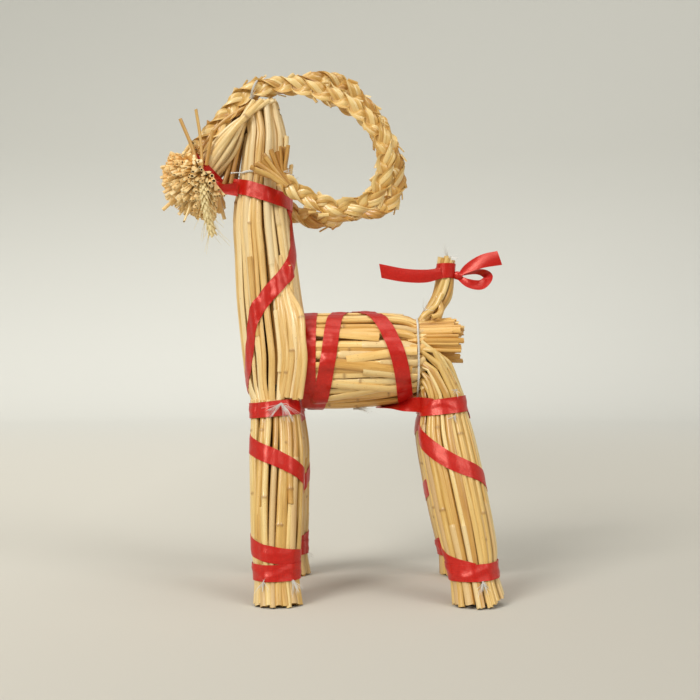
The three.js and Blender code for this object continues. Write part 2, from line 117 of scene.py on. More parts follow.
# Along the head from the crown: half sizes up and across
HEAD = [
    (0, 9, 8), (12, 9.2, 12), (30, 9, 13), (HEAD_LENGTH - 8, 9, 11),
    (HEAD_LENGTH, *HEAD_HALF), (HEAD_LENGTH + 7, 13, 13.4),
]
HEAD_BULGE = 3.4             # how far the head's straws bow out half way
BRUSH_RADIUS = 31.0
BRUSH_SPREAD = math.radians(54)
BRUSH_SIDE_SPREAD = math.radians(42)   # the brush opens wider to the goat's sides
BRUSH_STRAWS = 680
BRUSH_LONG_TIPS = ((-125, -13, 249), (-127, -10, 241), (-118, -18, 262), (-112, -20, 232))
GOLDEN_ANGLE = math.pi * (3 - math.sqrt(5))   # between one straw of the brush and the next

STRING_RADIUS, STRING_COIL = 0.42, 0.4      # of one of its three strands, and of their twist
STRING_TWIST = 0.42                         # turns a millimetre
NECK_STRING_Z = 264.8
CROWN_STRING = (-69.6, 319.0, 10.2, 6.6)   # x, height, half sizes across and up
CROWN_STRING_LEAN = -0.4
# Each horn rises up the forehead, loops back over the neck and is tied to the neck's side:
# x, distance from the middle plane, height
HORNS = {
    "left": [
        (-108, 5, 278.5), (-89.4, 5, 300.5), (-72.5, 6, 317.5), (-46, 9, 320.5), (-15.7, 15, 310.5),
        (7, 19, 292.5), (14.3, 21, 269.3), (5.6, 22, 245.5), (-17.4, 22, 240),
        (-39.7, 21.5, 249.5), (-50, 22.5, 257.5),
    ],
    "right": [
        (-108, 5, 279.5), (-89.4, 5, 302), (-72.5, 6, 320.5), (-42.3, 10, 325.9), (-20.9, 13, 330),
        (0, 16, 315), (14, 18, 296), (23, 20, 266), (14, 21, 247), (-6, 21.5, 244),
        (-28, 22, 238.6), (-45, 22.8, 243), (-55, 23.6, 251.5),
    ],
}
HORN_FAN = (-0.55, 0.0, 0.84)   # the way the straw ends past a horn's tie point
HORN_FAN_LENGTH = 20.0
EDGE_FOLD = 0.44                # how sharply a flat strand folds over the plait's edge
PLAIT_PITCH = 13.5              # from one bulge of the plait's edge to the next
STRAND_SWING = 3.8              # how far a strand's middle swings across the plait
STRAND_DEPTH = 1.75             # and through it
STRAND_LANES = (-1.95, -1.0, 0.0, 1.0, 1.95)   # where the straws of one strand lie across it

RIBBON_WIDTH, RIBBON_THICK = 9.5, 0.32
RIBBON_LIFT = 0.3               # how far a ribbon's upper face is from the straws under it
ACROSS = 9                      # points across a ribbon's face
RIBBON_RED = [(0.3, (0.36, 0.003, 0.002)), (0.5, (0.52, 0.007, 0.005)),
              (0.7, (0.76, 0.024, 0.015))]
# The bands round each leg: height and tilt
FORELEG_BANDS, HIND_BANDS = ((115.4, 1.6), (19.8, 0.3)), ((117, 1.7), (20.2, 0.8))
# Where each ribbon goes: turns from the front of the limb, towards its outer side, and height
FORELEG_RIBBON = dict.fromkeys(("left", "right"), [
    (-0.5, 112), (-0.25, 106), (0, 95), (0.25, 86.3), (0.5, 71.6), (1, 36.6), (1.25, 30),
    (1.5, 26.6), (1.75, 20.5),
])
HIND_RIBBON = {
    "left": [(-0.5, 114), (-0.25, 109), (0, 101), (0.25, 84), (0.5, 71.3), (0.75, 50), (1, 28),
             (1.25, 21)],
    "right": [(-0.5, 114), (-0.25, 109), (0, 103), (0.5, 81), (1, 58), (1.5, 36), (2, 19)],
}
# Where the rearmost straw beside the body runs, from above downwards, at the neck's right side
NECK_REAR_STRAW = [(-44.5, 16, 206), (-41.6, 23, 190), (-39.2, 28.2, 174), (-37, 31.9, 158),
                   (-36.3, 33.3, 145), (-39.2, 30.8, 121.5)]
NECK_SQUEEZE = (1, 1, 1, 1, 0.95, 0.8, 0.74, 0.72)   # straws are pressed thin at the muzzle's tie
NECK_REAR_TUCK = np.array((0.2, 0.5, 0.8, 1, 1, 1))   # how far the ones before it are tucked in
# Broken straws that stand off the neck: angle, lowest and highest point, and lift at the top
NECK_BROKEN = [
    (0.7, 257, 285, 1.4), (-0.5, 266, 288, 1.2), (0.2, 240, 272, 1.6), (-1.35, 138, 176, 0.6),
    (-0.75, 150, 205, 0.7), (-2.0, 160, 210, 0.5),
]
# Short flat reeds that lie askew on the body: angle, where each begins and ends, and its lean
BODY_REEDS = [
    (3.3, -24, 30, 0.13), (3.05, -10, 33, -0.1), (3.75, -20, 22, 0.12), (3.95, -30, 12, -0.14),
    (2.6, -34, 10, 0.08), (3.5, 0, 35, 0.1), (0.2, -30, 24, 0.1), (-0.5, -20, 30, -0.12),
    (1.3, -28, 26, 0.08),
]
# Rings of straws that fill a cut face: the ring's size as a share of the bundle's, and straws
FRONT_RINGS = ((0.74, 26), (0.58, 20), (0.42, 14), (0.25, 9), (0.08, 3))
REAR_RINGS = ((0.86, 30), (0.72, 25), (0.56, 18), (0.4, 13))
STUB_RINGS = ((0.94, 36), (0.76, 28), (0.57, 20), (0.38, 14), (0.19, 8), (0.02, 2))
# Leaves that wrap the tail's foot
TAIL_LEAVES = (
    [(50, -6.4, 188), (46, -7.6, 180), (41, -8.4, 176), (37.5, -8.6, 173)],
    [(47.5, -5, 186), (49.5, -8, 178), (47.6, -10, 174.2), (43.5, -10.6, 172.8)],
)
COLLAR_HEIGHT, COLLAR_TILT = 251.2, 5.4
NECK_RIBBON = [(0.015, 126.5), (0.06, 133), (0.103, 144), (0.169, 170), (0.25, 185),
               (0.444, 214), (0.52, 243)]
BODY_RING_X = -33.8
# Turns from the left side, over the top, and x
BODY_STRAPS = [
    [(-0.26, -31), (0, -21.5), (0.25, -14.4), (0.5, 4), (0.76, 26)],
    [(-0.26, 28), (0, 22.1), (0.25, 1.9), (0.5, -20), (0.76, -31)],
]
# Loose ribbon: points, the direction of its width at each, and its width there
MUZZLE_LINK = (
    [(-102, -11.6, 263.5), (-95, -12.8, 258.5), (-88.5, -13, 254), (-79.5, -10.2, 253.8)],
    [(0.5, 0, 0.3), (0.3, 0.6, 0.5), (0, -0.2, 1), (0, 0, 1)],
    (5, 4.2, 5.5, 9),
)
# The ribbon that comes from under the belly to each hind leg's upper band
BELLY_RIBBON = (
    [(10, 3, 115.7), (21, 8, 116.6), (29, 13.5, 117.4), (34.8, 20, 117.6), (37.6, 26.4, 117.6),
     (43, 30.4, 117.4)],
    [(0, -1, 0.05), (-0.3, -1, 0.3), (-0.3, -0.6, 0.8), (0, -0.1, 1), (0, 0, 1), (0, 0, 1)],
    (9, 9, 9, 9.3, 9, 8.4),
)
BOW_HEIGHT = 202.6
BOW_KNOT, BOW_KNOT_HALF = (60.9, -1.6, 199.6), 2.6   # middle, and half width
BOW_KNOT_TURNS = ((0.25, 2.5), (-0.5, 2.7))          # tilt and radius of each turn of ribbon
BOW_TAIL_LEFT = (
    [(50, -5.9, 201), (40, -8, 198.8), (26, -9.4, 199.2), (11, -9.4, 202)],
    [(0, 0, 1), (0, 0, 1), (0, 0.1, 1), (0.2, 0, 1)],
    (6.5, 8.2, 8.6, 8.6),
)
BOW_TAIL_RIGHT = (
    [(60.6, -2, 199.4), (66, -3, 204), (76, -5, 208.6), (87, -6, 210.6)],
    [(-0.2, 0.8, 0.6), (0, 0.5, 0.8), (-0.1, 0.3, 1), (-0.3, 0.1, 1)],
    (3.4, 7, 9, 9.4),
)
BOW_LOOP = (
    [(60.6, -2, 198.8), (67.5, -4.6, 194.4), (75.5, -4, 193.6), (80.4, -1, 199), (74, 3, 202.6),
     (61.2, 0.4, 200.4)],
    [(0, 0.6, 0.8), (0.2, 0.2, 1), (-0.2, 0.25, 1), (-0.9, 0.45, 0.1), (-0.3, 0.8, -0.5),
     (0, 0.8, -0.4)],
    (3.0, 5.6, 6.4, 5.6, 5.0, 3.0),
)
WHEAT_EAR = [(-101, -13.8, 262), (-99.5, -20, 251), (-98.5, -20.6, 242), (-95.5, -17, 228)]
# A grain's thickness at places along it, as shares of the whole
GRAIN_OUTLINE = ((0, 0.35), (0.15, 0.8), (0.4, 1), (0.7, 0.75), (0.9, 0.35), (1, 0.05))
# Frayed string ends: root, way, length, spread, fibres and droop
PAIRED_TUFTS = [   # at the chest, the forefoot, the hind foot and the hind leg's upper band
    ((-50, 32.5, 118.5), (-0.75, 0.5, -0.5), 15, 0.16, 16, 0.12),
    ((-50, 32.5, 118.5), (0.7, 0.5, -0.6), 14, 0.22, 18, 0.15),
    ((-58, 58.5, 15.5), (-0.3, 0.2, -0.9), 8, 0.35, 18),
    ((-41, 57.5, 15.5), (0.35, 0.2, -0.85), 10, 0.35, 20),
    ((70, 60.4, 15.5), (0.1, -0.03, -0.9), 10, 0.36, 28),
    ((56, 33.5, 111), (-0.1, 0.7, -0.6), 6, 0.5, 14),
]
SINGLE_TUFTS = [   # at the muzzle and the tail's tip
    ((-98, -12, 262), (-0.9, -0.5, -0.3), 12, 0.35, 24),
    ((54, -5, 211), (-0.4, -0.2, 0.9), 9, 0.35, 8),
    ((54, -5, 211), (0.9, -0.3, 0.1), 8, 0.3, 8),
]
BODY_STRING_TUFTS = [
    ((38, -20, 176), (0.5, -0.5, 0.6), 7, 0.4, 8),
    ((-6, -4, 114.6), (1, -0.4, 0.02), 16, 0.12, 16),
    ((57, -31, 127), (-0.3, -0.8, -0.1), 6, 0.5, 12),
]
NECK_STRING_TUFT = ((-52, 23, 262), (1, 0.4, 0.1), 9, 0.35, 10)
CROWN_STRING_TUFT = ((-72, -11, 312), (1, -0.5, 0.2), 7, 0.4, 9)
STEMS = [
    [(-104.4, -13, 268.5), (-109, -11.6, 282), (-116, -11.4, 298.5)],
    [(-101.6, -13.6, 269), (-103, -12, 286), (-106, -11.6, 304.6)],
    [(-99, -14, 268.5), (-97, -14, 280), (-95, -14, 290.5)],
    [(-103, 13.4, 270), (-102.6, 12.4, 286), (-101.6, 12.4, 303)],
]
SIDES = {"left": -1, "right": 1}

# Layers of straws, the outer one first: how many, and how far the layer is set in
NECK_LAYERS = ((38, 0.0), (28, 3.8))
BODY_LAYERS = ((43, 0.0), (36, 3.0))
HIND_LEG_LAYERS = ((29, 0.0), (23, 3.2))
HEAD_STRAWS, PAINTED_SHADE_STRAWS, NECK_REAR_STRAWS = 17, 7, 6
HORN_SPLITS, HORN_FAN_STRAWS, HORN_LOOSE_ENDS = 34, 17, 9

# The studio: the floor's flat radius, the curve's and the wall's height, in metres
STAGE_FLAT, STAGE_CURVE, STAGE_TOP = 2.6, 1.0, 1.65
TABLE_COLOUR, TABLE_GRAIN = (0.72, 0.69, 0.61), (0.70, 0.67, 0.59)
WALL_COLOUR = (0.63, 0.63, 0.59)
TABLE_END = (0.4, 3.2)   # where the table's tone turns to the wall's, in metres behind the goat
# Softboxes: the way to each from the goat, its strength, its width in degrees, and its colour
LIGHTS = {
    "key": ((-0.75, -1.0, 0.85), 1.85, 24, (1.0, 0.98, 0.95)),
    "fill": ((0.95, -0.9, 0.8), 0.9, 28, (1.0, 0.985, 0.96)),
    "top": ((0.0, -0.1, 1.3), 0.75, 40, (1.0, 0.99, 0.97)),
}
ROOM_COLOUR, ROOM_STRENGTH = (0.9, 0.9, 0.86), 0.36
FOCAL_LENGTH = 1092 / 700       # as a share of the picture's width
SENSOR = 36.0
CAMERA = (0.0, -700.0, 135.4)
CAMERA_UP, CAMERA_LEFT = math.radians(1.364), math.radians(0.68)   # where it is turned to

X, Y, Z = np.eye(3)

# The part's frame is the drawing frame moved along x, found from the string round the body
string_low, string_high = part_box("body_string")
SHIFT = np.array(((string_low[0] + string_high[0]) / 2 / MM - BODY_STRING_X, 0.0, 0.0))

# ---------------------------------------------------------------- curves and bundles


def unit(v):
    return v / np.maximum(np.linalg.norm(v, axis=-1, keepdims=True), 1e-9)


def blend(a, b, share):
    return a + (b - a) * share


def on_side(side, values):
    """Points or ways given for the goat's right side, on the side asked for: 1 is the right."""
    return np.array(values) * (1, side, 1)


def circle(count):
    """Angles evenly round a circle."""
    return np.arange(count) * 2 * math.pi / count


def distances(path):
    """How far along a path each of its points is."""
    gaps = np.linalg.norm(np.diff(path, axis=0), axis=1)
    return np.concatenate(([0], np.cumsum(np.maximum(gaps, 1e-6))))


def hermite(at, values, where):
    """Smooth interpolation of the rows of values, given at the stations at."""
    at, values = np.asarray(at, float), np.asarray(values, float)
    where = np.clip(where, at[0], at[-1])
    slope = np.empty_like(values)
    slope[1:-1] = (values[2:] - values[:-2]) / (at[2:] - at[:-2])[:, None]
    slope[0] = (values[1] - values[0]) / (at[1] - at[0])
    slope[-1] = (values[-1] - values[-2]) / (at[-1] - at[-2])
    i = np.clip(np.searchsorted(at, where, side="right") - 1, 0, len(at) - 2)
    step = (at[i + 1] - at[i])[..., None]
    t = ((where - at[i]) / (at[i + 1] - at[i]))[..., None]
    return (
        (1 + 2 * t) * (1 - t) ** 2 * values[i] + t * (1 - t) ** 2 * step * slope[i]
        + t * t * (3 - 2 * t) * values[i + 1] + t * t * (t - 1) * step * slope[i + 1]
    )


class Limb:
    """A bundle's smooth outline: elliptical sections, spanned by u and v, along a middle line."""

    def __init__(self, stations, kind, side=0):
        rows = np.array(stations, float)
        self.at, self.rows = rows[:, 0], rows[:, 1:]
        self.kind, self.side = kind, side
        self.u, self.v = (Y, Z) if kind == "level" else (X, Y)
        self.axis = np.cross(self.u, self.v)
        self.origin = np.zeros(3)

    def slant(self, origin, end):
        """Turns an upright limb to run from origin towards end."""
        self.origin = origin
        self.axis = unit(end - origin)
        self.u = unit(np.cross(Y, self.axis))
        self.v = np.cross(self.axis, self.u)
        return self

    def row(self, at):
        return hermite(self.at, self.rows, np.asarray(at, float))

    def centre(self, at):
        at = np.asarray(at, float)
        row = self.row(at)
        if self.kind == "level":
            return np.stack((at, 0 * at, row[..., 0]), -1)
        if self.kind == "leg":
            return np.stack((row[..., 0], self.side * row[..., 1], at), -1)
        if self.kind == "slanted":
            return self.origin + at[..., None] * self.axis
        return np.stack((row[..., 0], 0 * at, at), -1)

    def half(self, at):
        return self.row(at)[..., -2:]

    def surface(self, at, angle, lift=0.0):
        """Point on the outline at an angle from u towards v, and the direction out of it."""
        half = self.half(at)
        cos, sin = np.cos(angle)[..., None], np.sin(angle)[..., None]
        a, b = half[..., :1], half[..., 1:]
        out = self.u * cos / a + self.v * sin / b
        out /= np.linalg.norm(out, axis=-1, keepdims=True)
        lift = np.asarray(lift, float)[..., None]
        return self.centre(at) + self.u * a * cos + self.v * b * sin + out * lift, out

    def below(self, points, lift=0.0):
        """The outline's points nearest to free ones beside the limb, and the way out there."""
        at = (points - self.origin) @ self.axis
        half = self.half(at)
        out = points - self.centre(at)
        angle = np.arctan2(out @ self.v / half[..., 1], out @ self.u / half[..., 0])
        return self.surface(at, angle, lift)


neck = Limb(NECK, "upright")
body = Limb(BODY, "level")
tail = Limb(TAIL, "upright")
forelegs = {side: Limb(FORELEG, "leg", sign) for side, sign in SIDES.items()}
hind_legs = {side: Limb(HIND_LEG, "leg", sign) for side, sign in SIDES.items()}
head = Limb(HEAD, "slanted").slant(CROWN, MUZZLE_TIE)

# ---------------------------------------------------------------- meshes


def smooth_path(points, step):
    """Points about step apart on a smooth curve through the given ones."""
    points = np.asarray(points, float)
    at = distances(points)
    count = max(2, int(round(at[-1] / step)) + 1)
    return hermite(at, points, np.linspace(0, at[-1], count))


def frames_along(path, first_across):
    """Across and up directions carried along a path without twisting."""
    tangent = unit(np.gradient(path, axis=0))
    across = np.empty_like(path)
    a = np.asarray(first_across, float)
    for i, t in enumerate(tangent):
        a = a - t * np.dot(a, t)
        a = a / max(np.linalg.norm(a), 1e-9)
        across[i] = a
    return across, np.cross(tangent, across), tangent


class MeshBuilder:
    """Gathers points and faces, and for the materials some values at each point."""

    FIELDS = ("tone", "along", "around", "mark", "sleeve")

    def __init__(self):
        self.points, self.faces, self.fields = [], [], {name: [] for name in self.FIELDS}
        self.count = 0

    def add(self, points, faces, **fields):
        points = np.asarray(points, float)
        self.points.append(points)
        self.faces.extend(tuple(int(i) + self.count for i in face) for face in faces)
        for name in self.FIELDS:
            value = fields.get(name, 0.0)
            self.fields[name].append(np.broadcast_to(np.asarray(value, float), len(points)))
        self.count += len(points)

    def tree(self):
        """A search tree of the mesh in the drawing frame, in millimetres."""
        return BVHTree.FromPolygons([Vector(p) for p in np.concatenate(self.points)], self.faces)

    def build(self, name, material, slot, replaces):
        mesh = bpy.data.meshes.new(name)
        points = (np.concatenate(self.points) + SHIFT) * MM
        points[:, 2] = np.maximum(points[:, 2], 0.0)   # nothing reaches below the table
        mesh.from_pydata(points.tolist(), [], self.faces)
        for field, parts in self.fields.items():
            layer = mesh.attributes.new(field, "FLOAT", "POINT")
            layer.data.foreach_set("value", np.concatenate(parts).astype(np.float32))
        mesh.shade_smooth()
        mesh.set_sharp_from_angle(angle=SHARP_FROM)
        mesh.materials.append(material)
        piece = bpy.data.objects.new(name, mesh)
        bpy.context.collection.objects.link(piece)
        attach(piece, "root")
        if replaces:
            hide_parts(*replaces)


def ring_faces(rows, sides, ends="open"):
    """Quads between rings of points; the ends are open, capped, or joined into a loop."""
    faces = []
    for row in range(rows if ends == "joined" else rows - 1):
        a, b = row * sides, (row + 1) % rows * sides
        for k in range(sides):
            l = (k + 1) % sides
            faces.append((a + k, a + l, b + l, b + k))
    if ends == "capped":
        faces += [tuple(range(sides))[::-1], tuple(range((rows - 1) * sides, rows * sides))]
    return faces


def add_tube(mesh, path, across, up, radius, sides, ends, along, tone):
    """A smooth tube round a path; radius is its half size, one for all or one for each point."""
    angle = circle(sides)[None, :, None]
    ways = np.cos(angle) * across[:, None] + np.sin(angle) * up[:, None]
    rings = path[:, None] + np.reshape(radius, (-1, 1, 1)) * ways
    mesh.add(rings.reshape(-1, 3), ring_faces(len(path), sides, ends), tone=tone,
             along=np.repeat(along, sides), around=np.tile(circle(sides), len(path)))


def kinked(points, reach=1.8):
    """Points with two more beside every corner, so that a smooth path turns sharply there."""
    points = np.asarray(points, float)
    out = [points[0]]
    for before, corner, after in zip(points, points[1:], points[2:]):
        near = [corner + way * min(0.45, reach / np.linalg.norm(way))
                for way in (before - corner, after - corner)]
        out += [near[0], corner, near[1]]
    return np.array(out + [points[-1]])


def straw_outline(sides, flat):
    """A squashed tube's outline, with the creases that a dry straw has."""
    angle = circle(sides)
    size = np.ones(sides)
    for _ in range(2):
        size -= rng.uniform(0.03, 0.15) * np.maximum(0, np.cos(angle - rng.uniform(0, 6.28))) ** 5
    return angle, np.cos(angle) * size * flat ** 0.5, np.sin(angle) * size / flat ** 0.5


def add_straw(mesh, points, radius, *, flat=1.0, lay=None, sides=9, step=4.0,
              ends=(False, True), tone=None, joint=True, squeeze=(1, 1)):
    """One straw along points: a tube, flattened by flat, with joints and open or shut ends.

    lay gives, for each point, the way that the straw's flat side faces, and squeeze its
    thickness at places evenly along it.
    """
    points = np.asarray(points, float)
    given = distances(points)
    length = given[-1]
    along = np.linspace(0, length, max(3, int(round(length / step)) + 1))
    knot = sheath = math.inf   # where the joint and the sheath are, if the straw has them
    if joint and length > LONG_STRAW:
        if rng.uniform() < JOINT_CHANCE:
            knot = rng.uniform(0.12, 0.88) * length
        if rng.uniform() < SHEATH_CHANCE:
            sheath = rng.uniform(0.2, 0.8) * length
    extra = [knot + d for d in (-1.5, -0.6, 0, 0.6, 1.5)] + [sheath - 0.15, sheath + 0.15]
    along = np.unique(np.concatenate((along, extra)).round(3))
    along = along[(along >= 0) & (along <= round(length, 3))]
    path = hermite(given, points, along)
    count = len(path)
    tangent = unit(path[min(3, count - 1)] - path[0])
    across, up, ahead = frames_along(path, np.cross(tangent, Y if abs(tangent[1]) < 0.8 else X))
    lean = rng.uniform(0, math.pi)
    tone = rng.uniform() if tone is None else tone
    if lay is None:
        wide, thin = across, up
    else:
        wide = unit(np.cross(ahead, hermite(given, lay, along)))
        thin = np.cross(wide, ahead)
        lean = rng.normal(0, 0.22)
    wide, thin = (math.cos(lean) * wide + math.sin(lean) * thin,
                  math.cos(lean) * thin - math.sin(lean) * wide)
    angle, cos, sin = straw_outline(sides, flat)
    mark = np.exp(-((along - knot) / 0.9) ** 2)
    sleeve = (along > sheath) * 1.0
    swell = np.interp(along / length, np.linspace(0, 1, len(squeeze)), squeeze)
    r = (radius * swell * (1 + 0.16 * mark) * (1 + 0.12 * sleeve))[:, None, None]
    rings = path[:, None] + r * (cos[:, None] * wide[:, None] + sin[:, None] * thin[:, None])
    # Rows of points, and for each row its values of along, around, mark and sleeve
    rows = list(rings)
    values = [(a, angle * radius, m, w) for a, m, w in zip(along, mark, sleeve)]
    faces = ring_faces(count, sides)
    total = count * sides
    for end, is_open in zip((0, count - 1), ends):
        rim, middle, inward, first = rings[end], path[end], 0.0, end * sides
        turn = 1 if end else -1
        if is_open:
            inward = unit(path[abs(end - 1)] - middle)
            rows[end] = rim = rim + rng.uniform(-0.35, 0.35, sides)[:, None] * inward
            # Rows down the hollow, and its cap, carry dark marks: painted shade in the open end.
            for share, deep, dark in HOLLOW_ROWS:
                rows.append(middle + (rim - middle) * share + inward * deep)
                values.append((along[end], angle * radius, dark, 0.0))
                for k in range(sides):
                    l = (k + 1) % sides
                    faces.append((first + k, first + l, total + l, total + k)[::turn])
                first, total = total, total + sides
        rows.append((middle + inward * HOLLOW_DEPTH)[None])
        values.append((along[end], 0.0, -1.0 if is_open else 0.0, 0.0))
        faces += [(first + k, first + (k + 1) % sides, total)[::turn] for k in range(sides)]
        total += 1
    sizes = [len(row) for row in rows]
    fields = [np.concatenate([np.broadcast_to(value, size) for value, size in zip(column, sizes)])
              for column in zip(*values)]
    along, around, mark, sleeve = fields
    mesh.add(np.concatenate(rows), faces, tone=tone, along=along + rng.uniform(0, 500),
             around=around, mark=mark, sleeve=sleeve)


def places(count, jitter, missing=None):
    """Numbers and angles, about evenly round a bundle; missing is the share left out."""
    for k in range(count):
        if missing is not None and rng.uniform() < missing:
            continue
        yield k, (k + rng.uniform(-jitter, jitter)) * 2 * math.pi / count


def lay_straws(mesh, limb, start, end, count, *, inset=0.0, radius=(1.6, 2.2), jitter=0.34,
               depth=1.2, drift=0.09, ragged=(0.0, 0.0), flat=(1.0, 1.5), missing=0.05,
               broken=0.16, tones=(0.0, 1.0)):
    """Straws side by side round a limb, their outer sides on its outline less inset.

    A broken straw ends part of the way down, and another begins there, a little askew.
    """
    for _, angle in places(count, jitter, missing):
        first = start + rng.uniform(0, 1) * ragged[0]
        last = end + rng.uniform(0, 1) * ragged[1]
        parts = [(first, last)]
        if rng.uniform() < broken:
            split = blend(first, last, rng.uniform(0.3, 0.7))
            parts = [(first, split), (split + 0.12 * (first - last), last)]
        for high, low in parts:
            at = np.linspace(high, low, 9)
            turn = angle + rng.normal(0, drift) * np.linspace(-1, 1, 9)
            turn = turn + rng.normal(0, drift * 0.6) * np.sin(np.linspace(0, math.pi, 9))
            r = rng.uniform(*radius)
            points, outs = limb.surface(at, turn, -inset - r - rng.uniform(0, depth))
            add_straw(mesh, points, r, flat=rng.uniform(*flat), lay=outs, tone=rng.uniform(*tones))


def add_core(mesh, limb, start, end, inset, sides=24, rows=14):
    """A dark sheet well under a bundle's outer straws: painted shade in the gaps between them."""
    at = np.repeat(np.linspace(start, end, rows), sides)
    points, _ = limb.surface(at, np.tile(circle(sides), rows), -inset)
    # mark -1 makes the core dark brown: painted shade.
    mesh.add(points, ring_faces(rows, sides, "capped"), tone=0.5, mark=-1.0)


# ---------------------------------------------------------------- materials


class Nodes:
    """Short calls for a material's nodes."""

    def __init__(self, name):
        self.material = bpy.data.materials.new(name)
        self.material.use_nodes = True
        self.tree = self.material.node_tree
        self.shader = self.tree.nodes["Principled BSDF"]

    def new(self, kind, **settings):
        node = self.tree.nodes.new(kind)
        for key, value in settings.items():
            setattr(node, key, value)
        return node

    def link(self, source, target):
        """Sets a socket to a number or a colour, or links it to another node's output."""
        if isinstance(source, (int, float)):
            target.default_value = source
        elif isinstance(source, tuple):
            target.default_value = (*source, 1)
        else:
            self.tree.links.new(source, target)

    def value(self, item):
        """An attribute's value, by name."""
        return self.new("ShaderNodeAttribute", attribute_name=item).outputs["Fac"]

    def math(self, operation, a, b=0.0, clamp=False):
        node = self.new("ShaderNodeMath", operation=operation, use_clamp=clamp)
        for socket, source in zip(node.inputs, (a, b)):
            self.link(source, socket)
        return node.outputs[0]

    def vector(self, x, y, z):
        node = self.new("ShaderNodeCombineXYZ")
        for socket, source in zip(node.inputs, (x, y, z)):
            self.link(source, socket)
        return node.outputs[0]

    def noise(self, vector, scale=1.0, detail=3.0):
        node = self.new("ShaderNodeTexNoise")
        node.inputs["Scale"].default_value = scale
        node.inputs["Detail"].default_value = detail
        self.link(vector, node.inputs["Vector"])
        return node.outputs["Fac"]

    def streaks(self, x, y, z=0.0, detail=3.0):
        """Stretched noise: x and y are pairs of a value and how fine the noise is along it."""
        where = self.vector(self.math("MULTIPLY", *x), self.math("MULTIPLY", *y), z)
        return self.noise(where, detail=detail)

    def ramp(self, source, stops):
        node = self.new("ShaderNodeValToRGB")
        elements = node.color_ramp.elements
        while len(elements) < len(stops):
            elements.new(0.5)
        for element, (position, colour) in zip(elements, stops):
            element.position = position
            element.color = (*colour, 1)
        self.link(source, node.inputs["Fac"])
        return node.outputs["Color"]

    def mix(self, factor, a, b):
        node = self.new("ShaderNodeMix", data_type="RGBA")
        for name, source in (("Factor", factor), ("A", a), ("B", b)):
            self.link(source, node.inputs[name])
        return node.outputs["Result"]

    def colour(self, source):
        self.link(source, self.shader.inputs["Base Color"])

    def bump(self, height, strength, distance):
        node = self.new("ShaderNodeBump")
        node.inputs["Strength"].default_value = strength
        node.inputs["Distance"].default_value = distance
        self.link(height, node.inputs["Height"])
        self.link(node.outputs["Normal"], self.shader.inputs["Normal"])

    def set(self, **values):
        for name, value in values.items():
            self.shader.inputs[name.replace("_", " ")].default_value = value


def straw_material(name, stops, rough=(0.27, 0.5)):
    """Rye straw: a tone for each straw, fine lines along it, brown joints and painted shade inside.
    """
    n = Nodes(name)
    tone, along, around, mark, sleeve = (n.value(item) for item in MeshBuilder.FIELDS)
    seed = n.math("MULTIPLY", tone, 40.0)
    lines = n.streaks((around, 4.2), (along, 0.05), seed)
    patches = n.streaks((around, 0.4), (along, 0.05), seed, 4.0)
    specks = n.streaks((around, 1.6), (along, 0.7), seed)
    shade = n.math("ADD", n.math("MULTIPLY", tone, 0.62), n.math("MULTIPLY", patches, 0.5))
    shade = n.math("ADD", shade, n.math("MULTIPLY", n.math("SUBTRACT", lines, 0.5), 0.5))
    colour = n.ramp(n.math("SUBTRACT", shade, 0.09), stops)
    colour = n.mix(n.math("MULTIPLY", sleeve, 0.5), colour, SHEATH_TAN)
    speck = n.ramp(specks, [(0.0, (0, 0, 0)), (0.64, (0, 0, 0)), (0.74, (0.6, 0.6, 0.6))])
    colour = n.mix(speck, colour, SPECK_BROWN)
    joint = n.math("MULTIPLY", n.math("MAXIMUM", mark, 0.0), 0.7)
    colour = n.mix(joint, colour, JOINT_BROWN)
    # Painted shade: below zero, mark turns the colour dark brown, in open ends and on cores.
    inside = n.math("MULTIPLY", mark, -1.0, clamp=True)
    n.colour(n.mix(inside, colour, PAINTED_SHADE_BROWN))
    span = n.new("ShaderNodeMapRange")
    span.inputs["To Min"].default_value, span.inputs["To Max"].default_value = rough
    n.link(lines, span.inputs["Value"])
    n.link(n.math("ADD", span.outputs[0], n.math("MULTIPLY", sleeve, 0.15)),
           n.shader.inputs["Roughness"])
    n.bump(lines, 0.5, 0.00018)
    n.set(Specular_IOR_Level=0.65, Coat_Weight=0.3, Coat_Roughness=0.16)
    return n.material


GOLD = [(0.0, (0.90, 0.72, 0.37)), (0.25, (0.82, 0.58, 0.21)), (0.5, (0.70, 0.43, 0.11)),
        (0.75, (0.54, 0.27, 0.05)), (1.0, (0.31, 0.125, 0.022))]
PALE_GOLD = [(0.0, (0.97, 0.83, 0.53)), (0.25, (0.94, 0.73, 0.38)), (0.5, (0.88, 0.61, 0.24)),
             (0.75, (0.70, 0.41, 0.11)), (1.0, (0.36, 0.15, 0.028))]
PLAIT_GOLD = [(0.0, (0.96, 0.80, 0.48)), (0.3, (0.88, 0.63, 0.25)), (0.6, (0.73, 0.44, 0.11)),
              (0.85, (0.50, 0.23, 0.04)), (1.0, (0.28, 0.11, 0.02))]
BODY_GOLD = [(0.0, (0.97, 0.79, 0.43)), (0.25, (0.96, 0.69, 0.28)), (0.5, (0.90, 0.56, 0.17)),
             (0.75, (0.70, 0.37, 0.075)), (1.0, (0.36, 0.15, 0.028))]
# Straw colour raised lighter to offset the shade among the brush's straws: partly painted light
BRUSH_GOLD = [(0.0, (1.0, 0.84, 0.50)), (0.4, (1.0, 0.72, 0.32)), (0.7, (0.94, 0.54, 0.16)),
              (1.0, (0.50, 0.2, 0.04))]
SHEATH_TAN, SPECK_BROWN = (0.74, 0.56, 0.30), (0.40, 0.18, 0.05)
# The second is painted shade: dark brown in open straw ends and on the bundles' cores.
JOINT_BROWN, PAINTED_SHADE_BROWN = (0.34, 0.16, 0.045), (0.10, 0.04, 0.012)

straw = straw_material("rye_straw", GOLD)
pale_straw = straw_material("pale_rye_straw", PALE_GOLD)
body_straw = straw_material("body_rye_straw", BODY_GOLD)

# ---------------------------------------------------------------- bundles


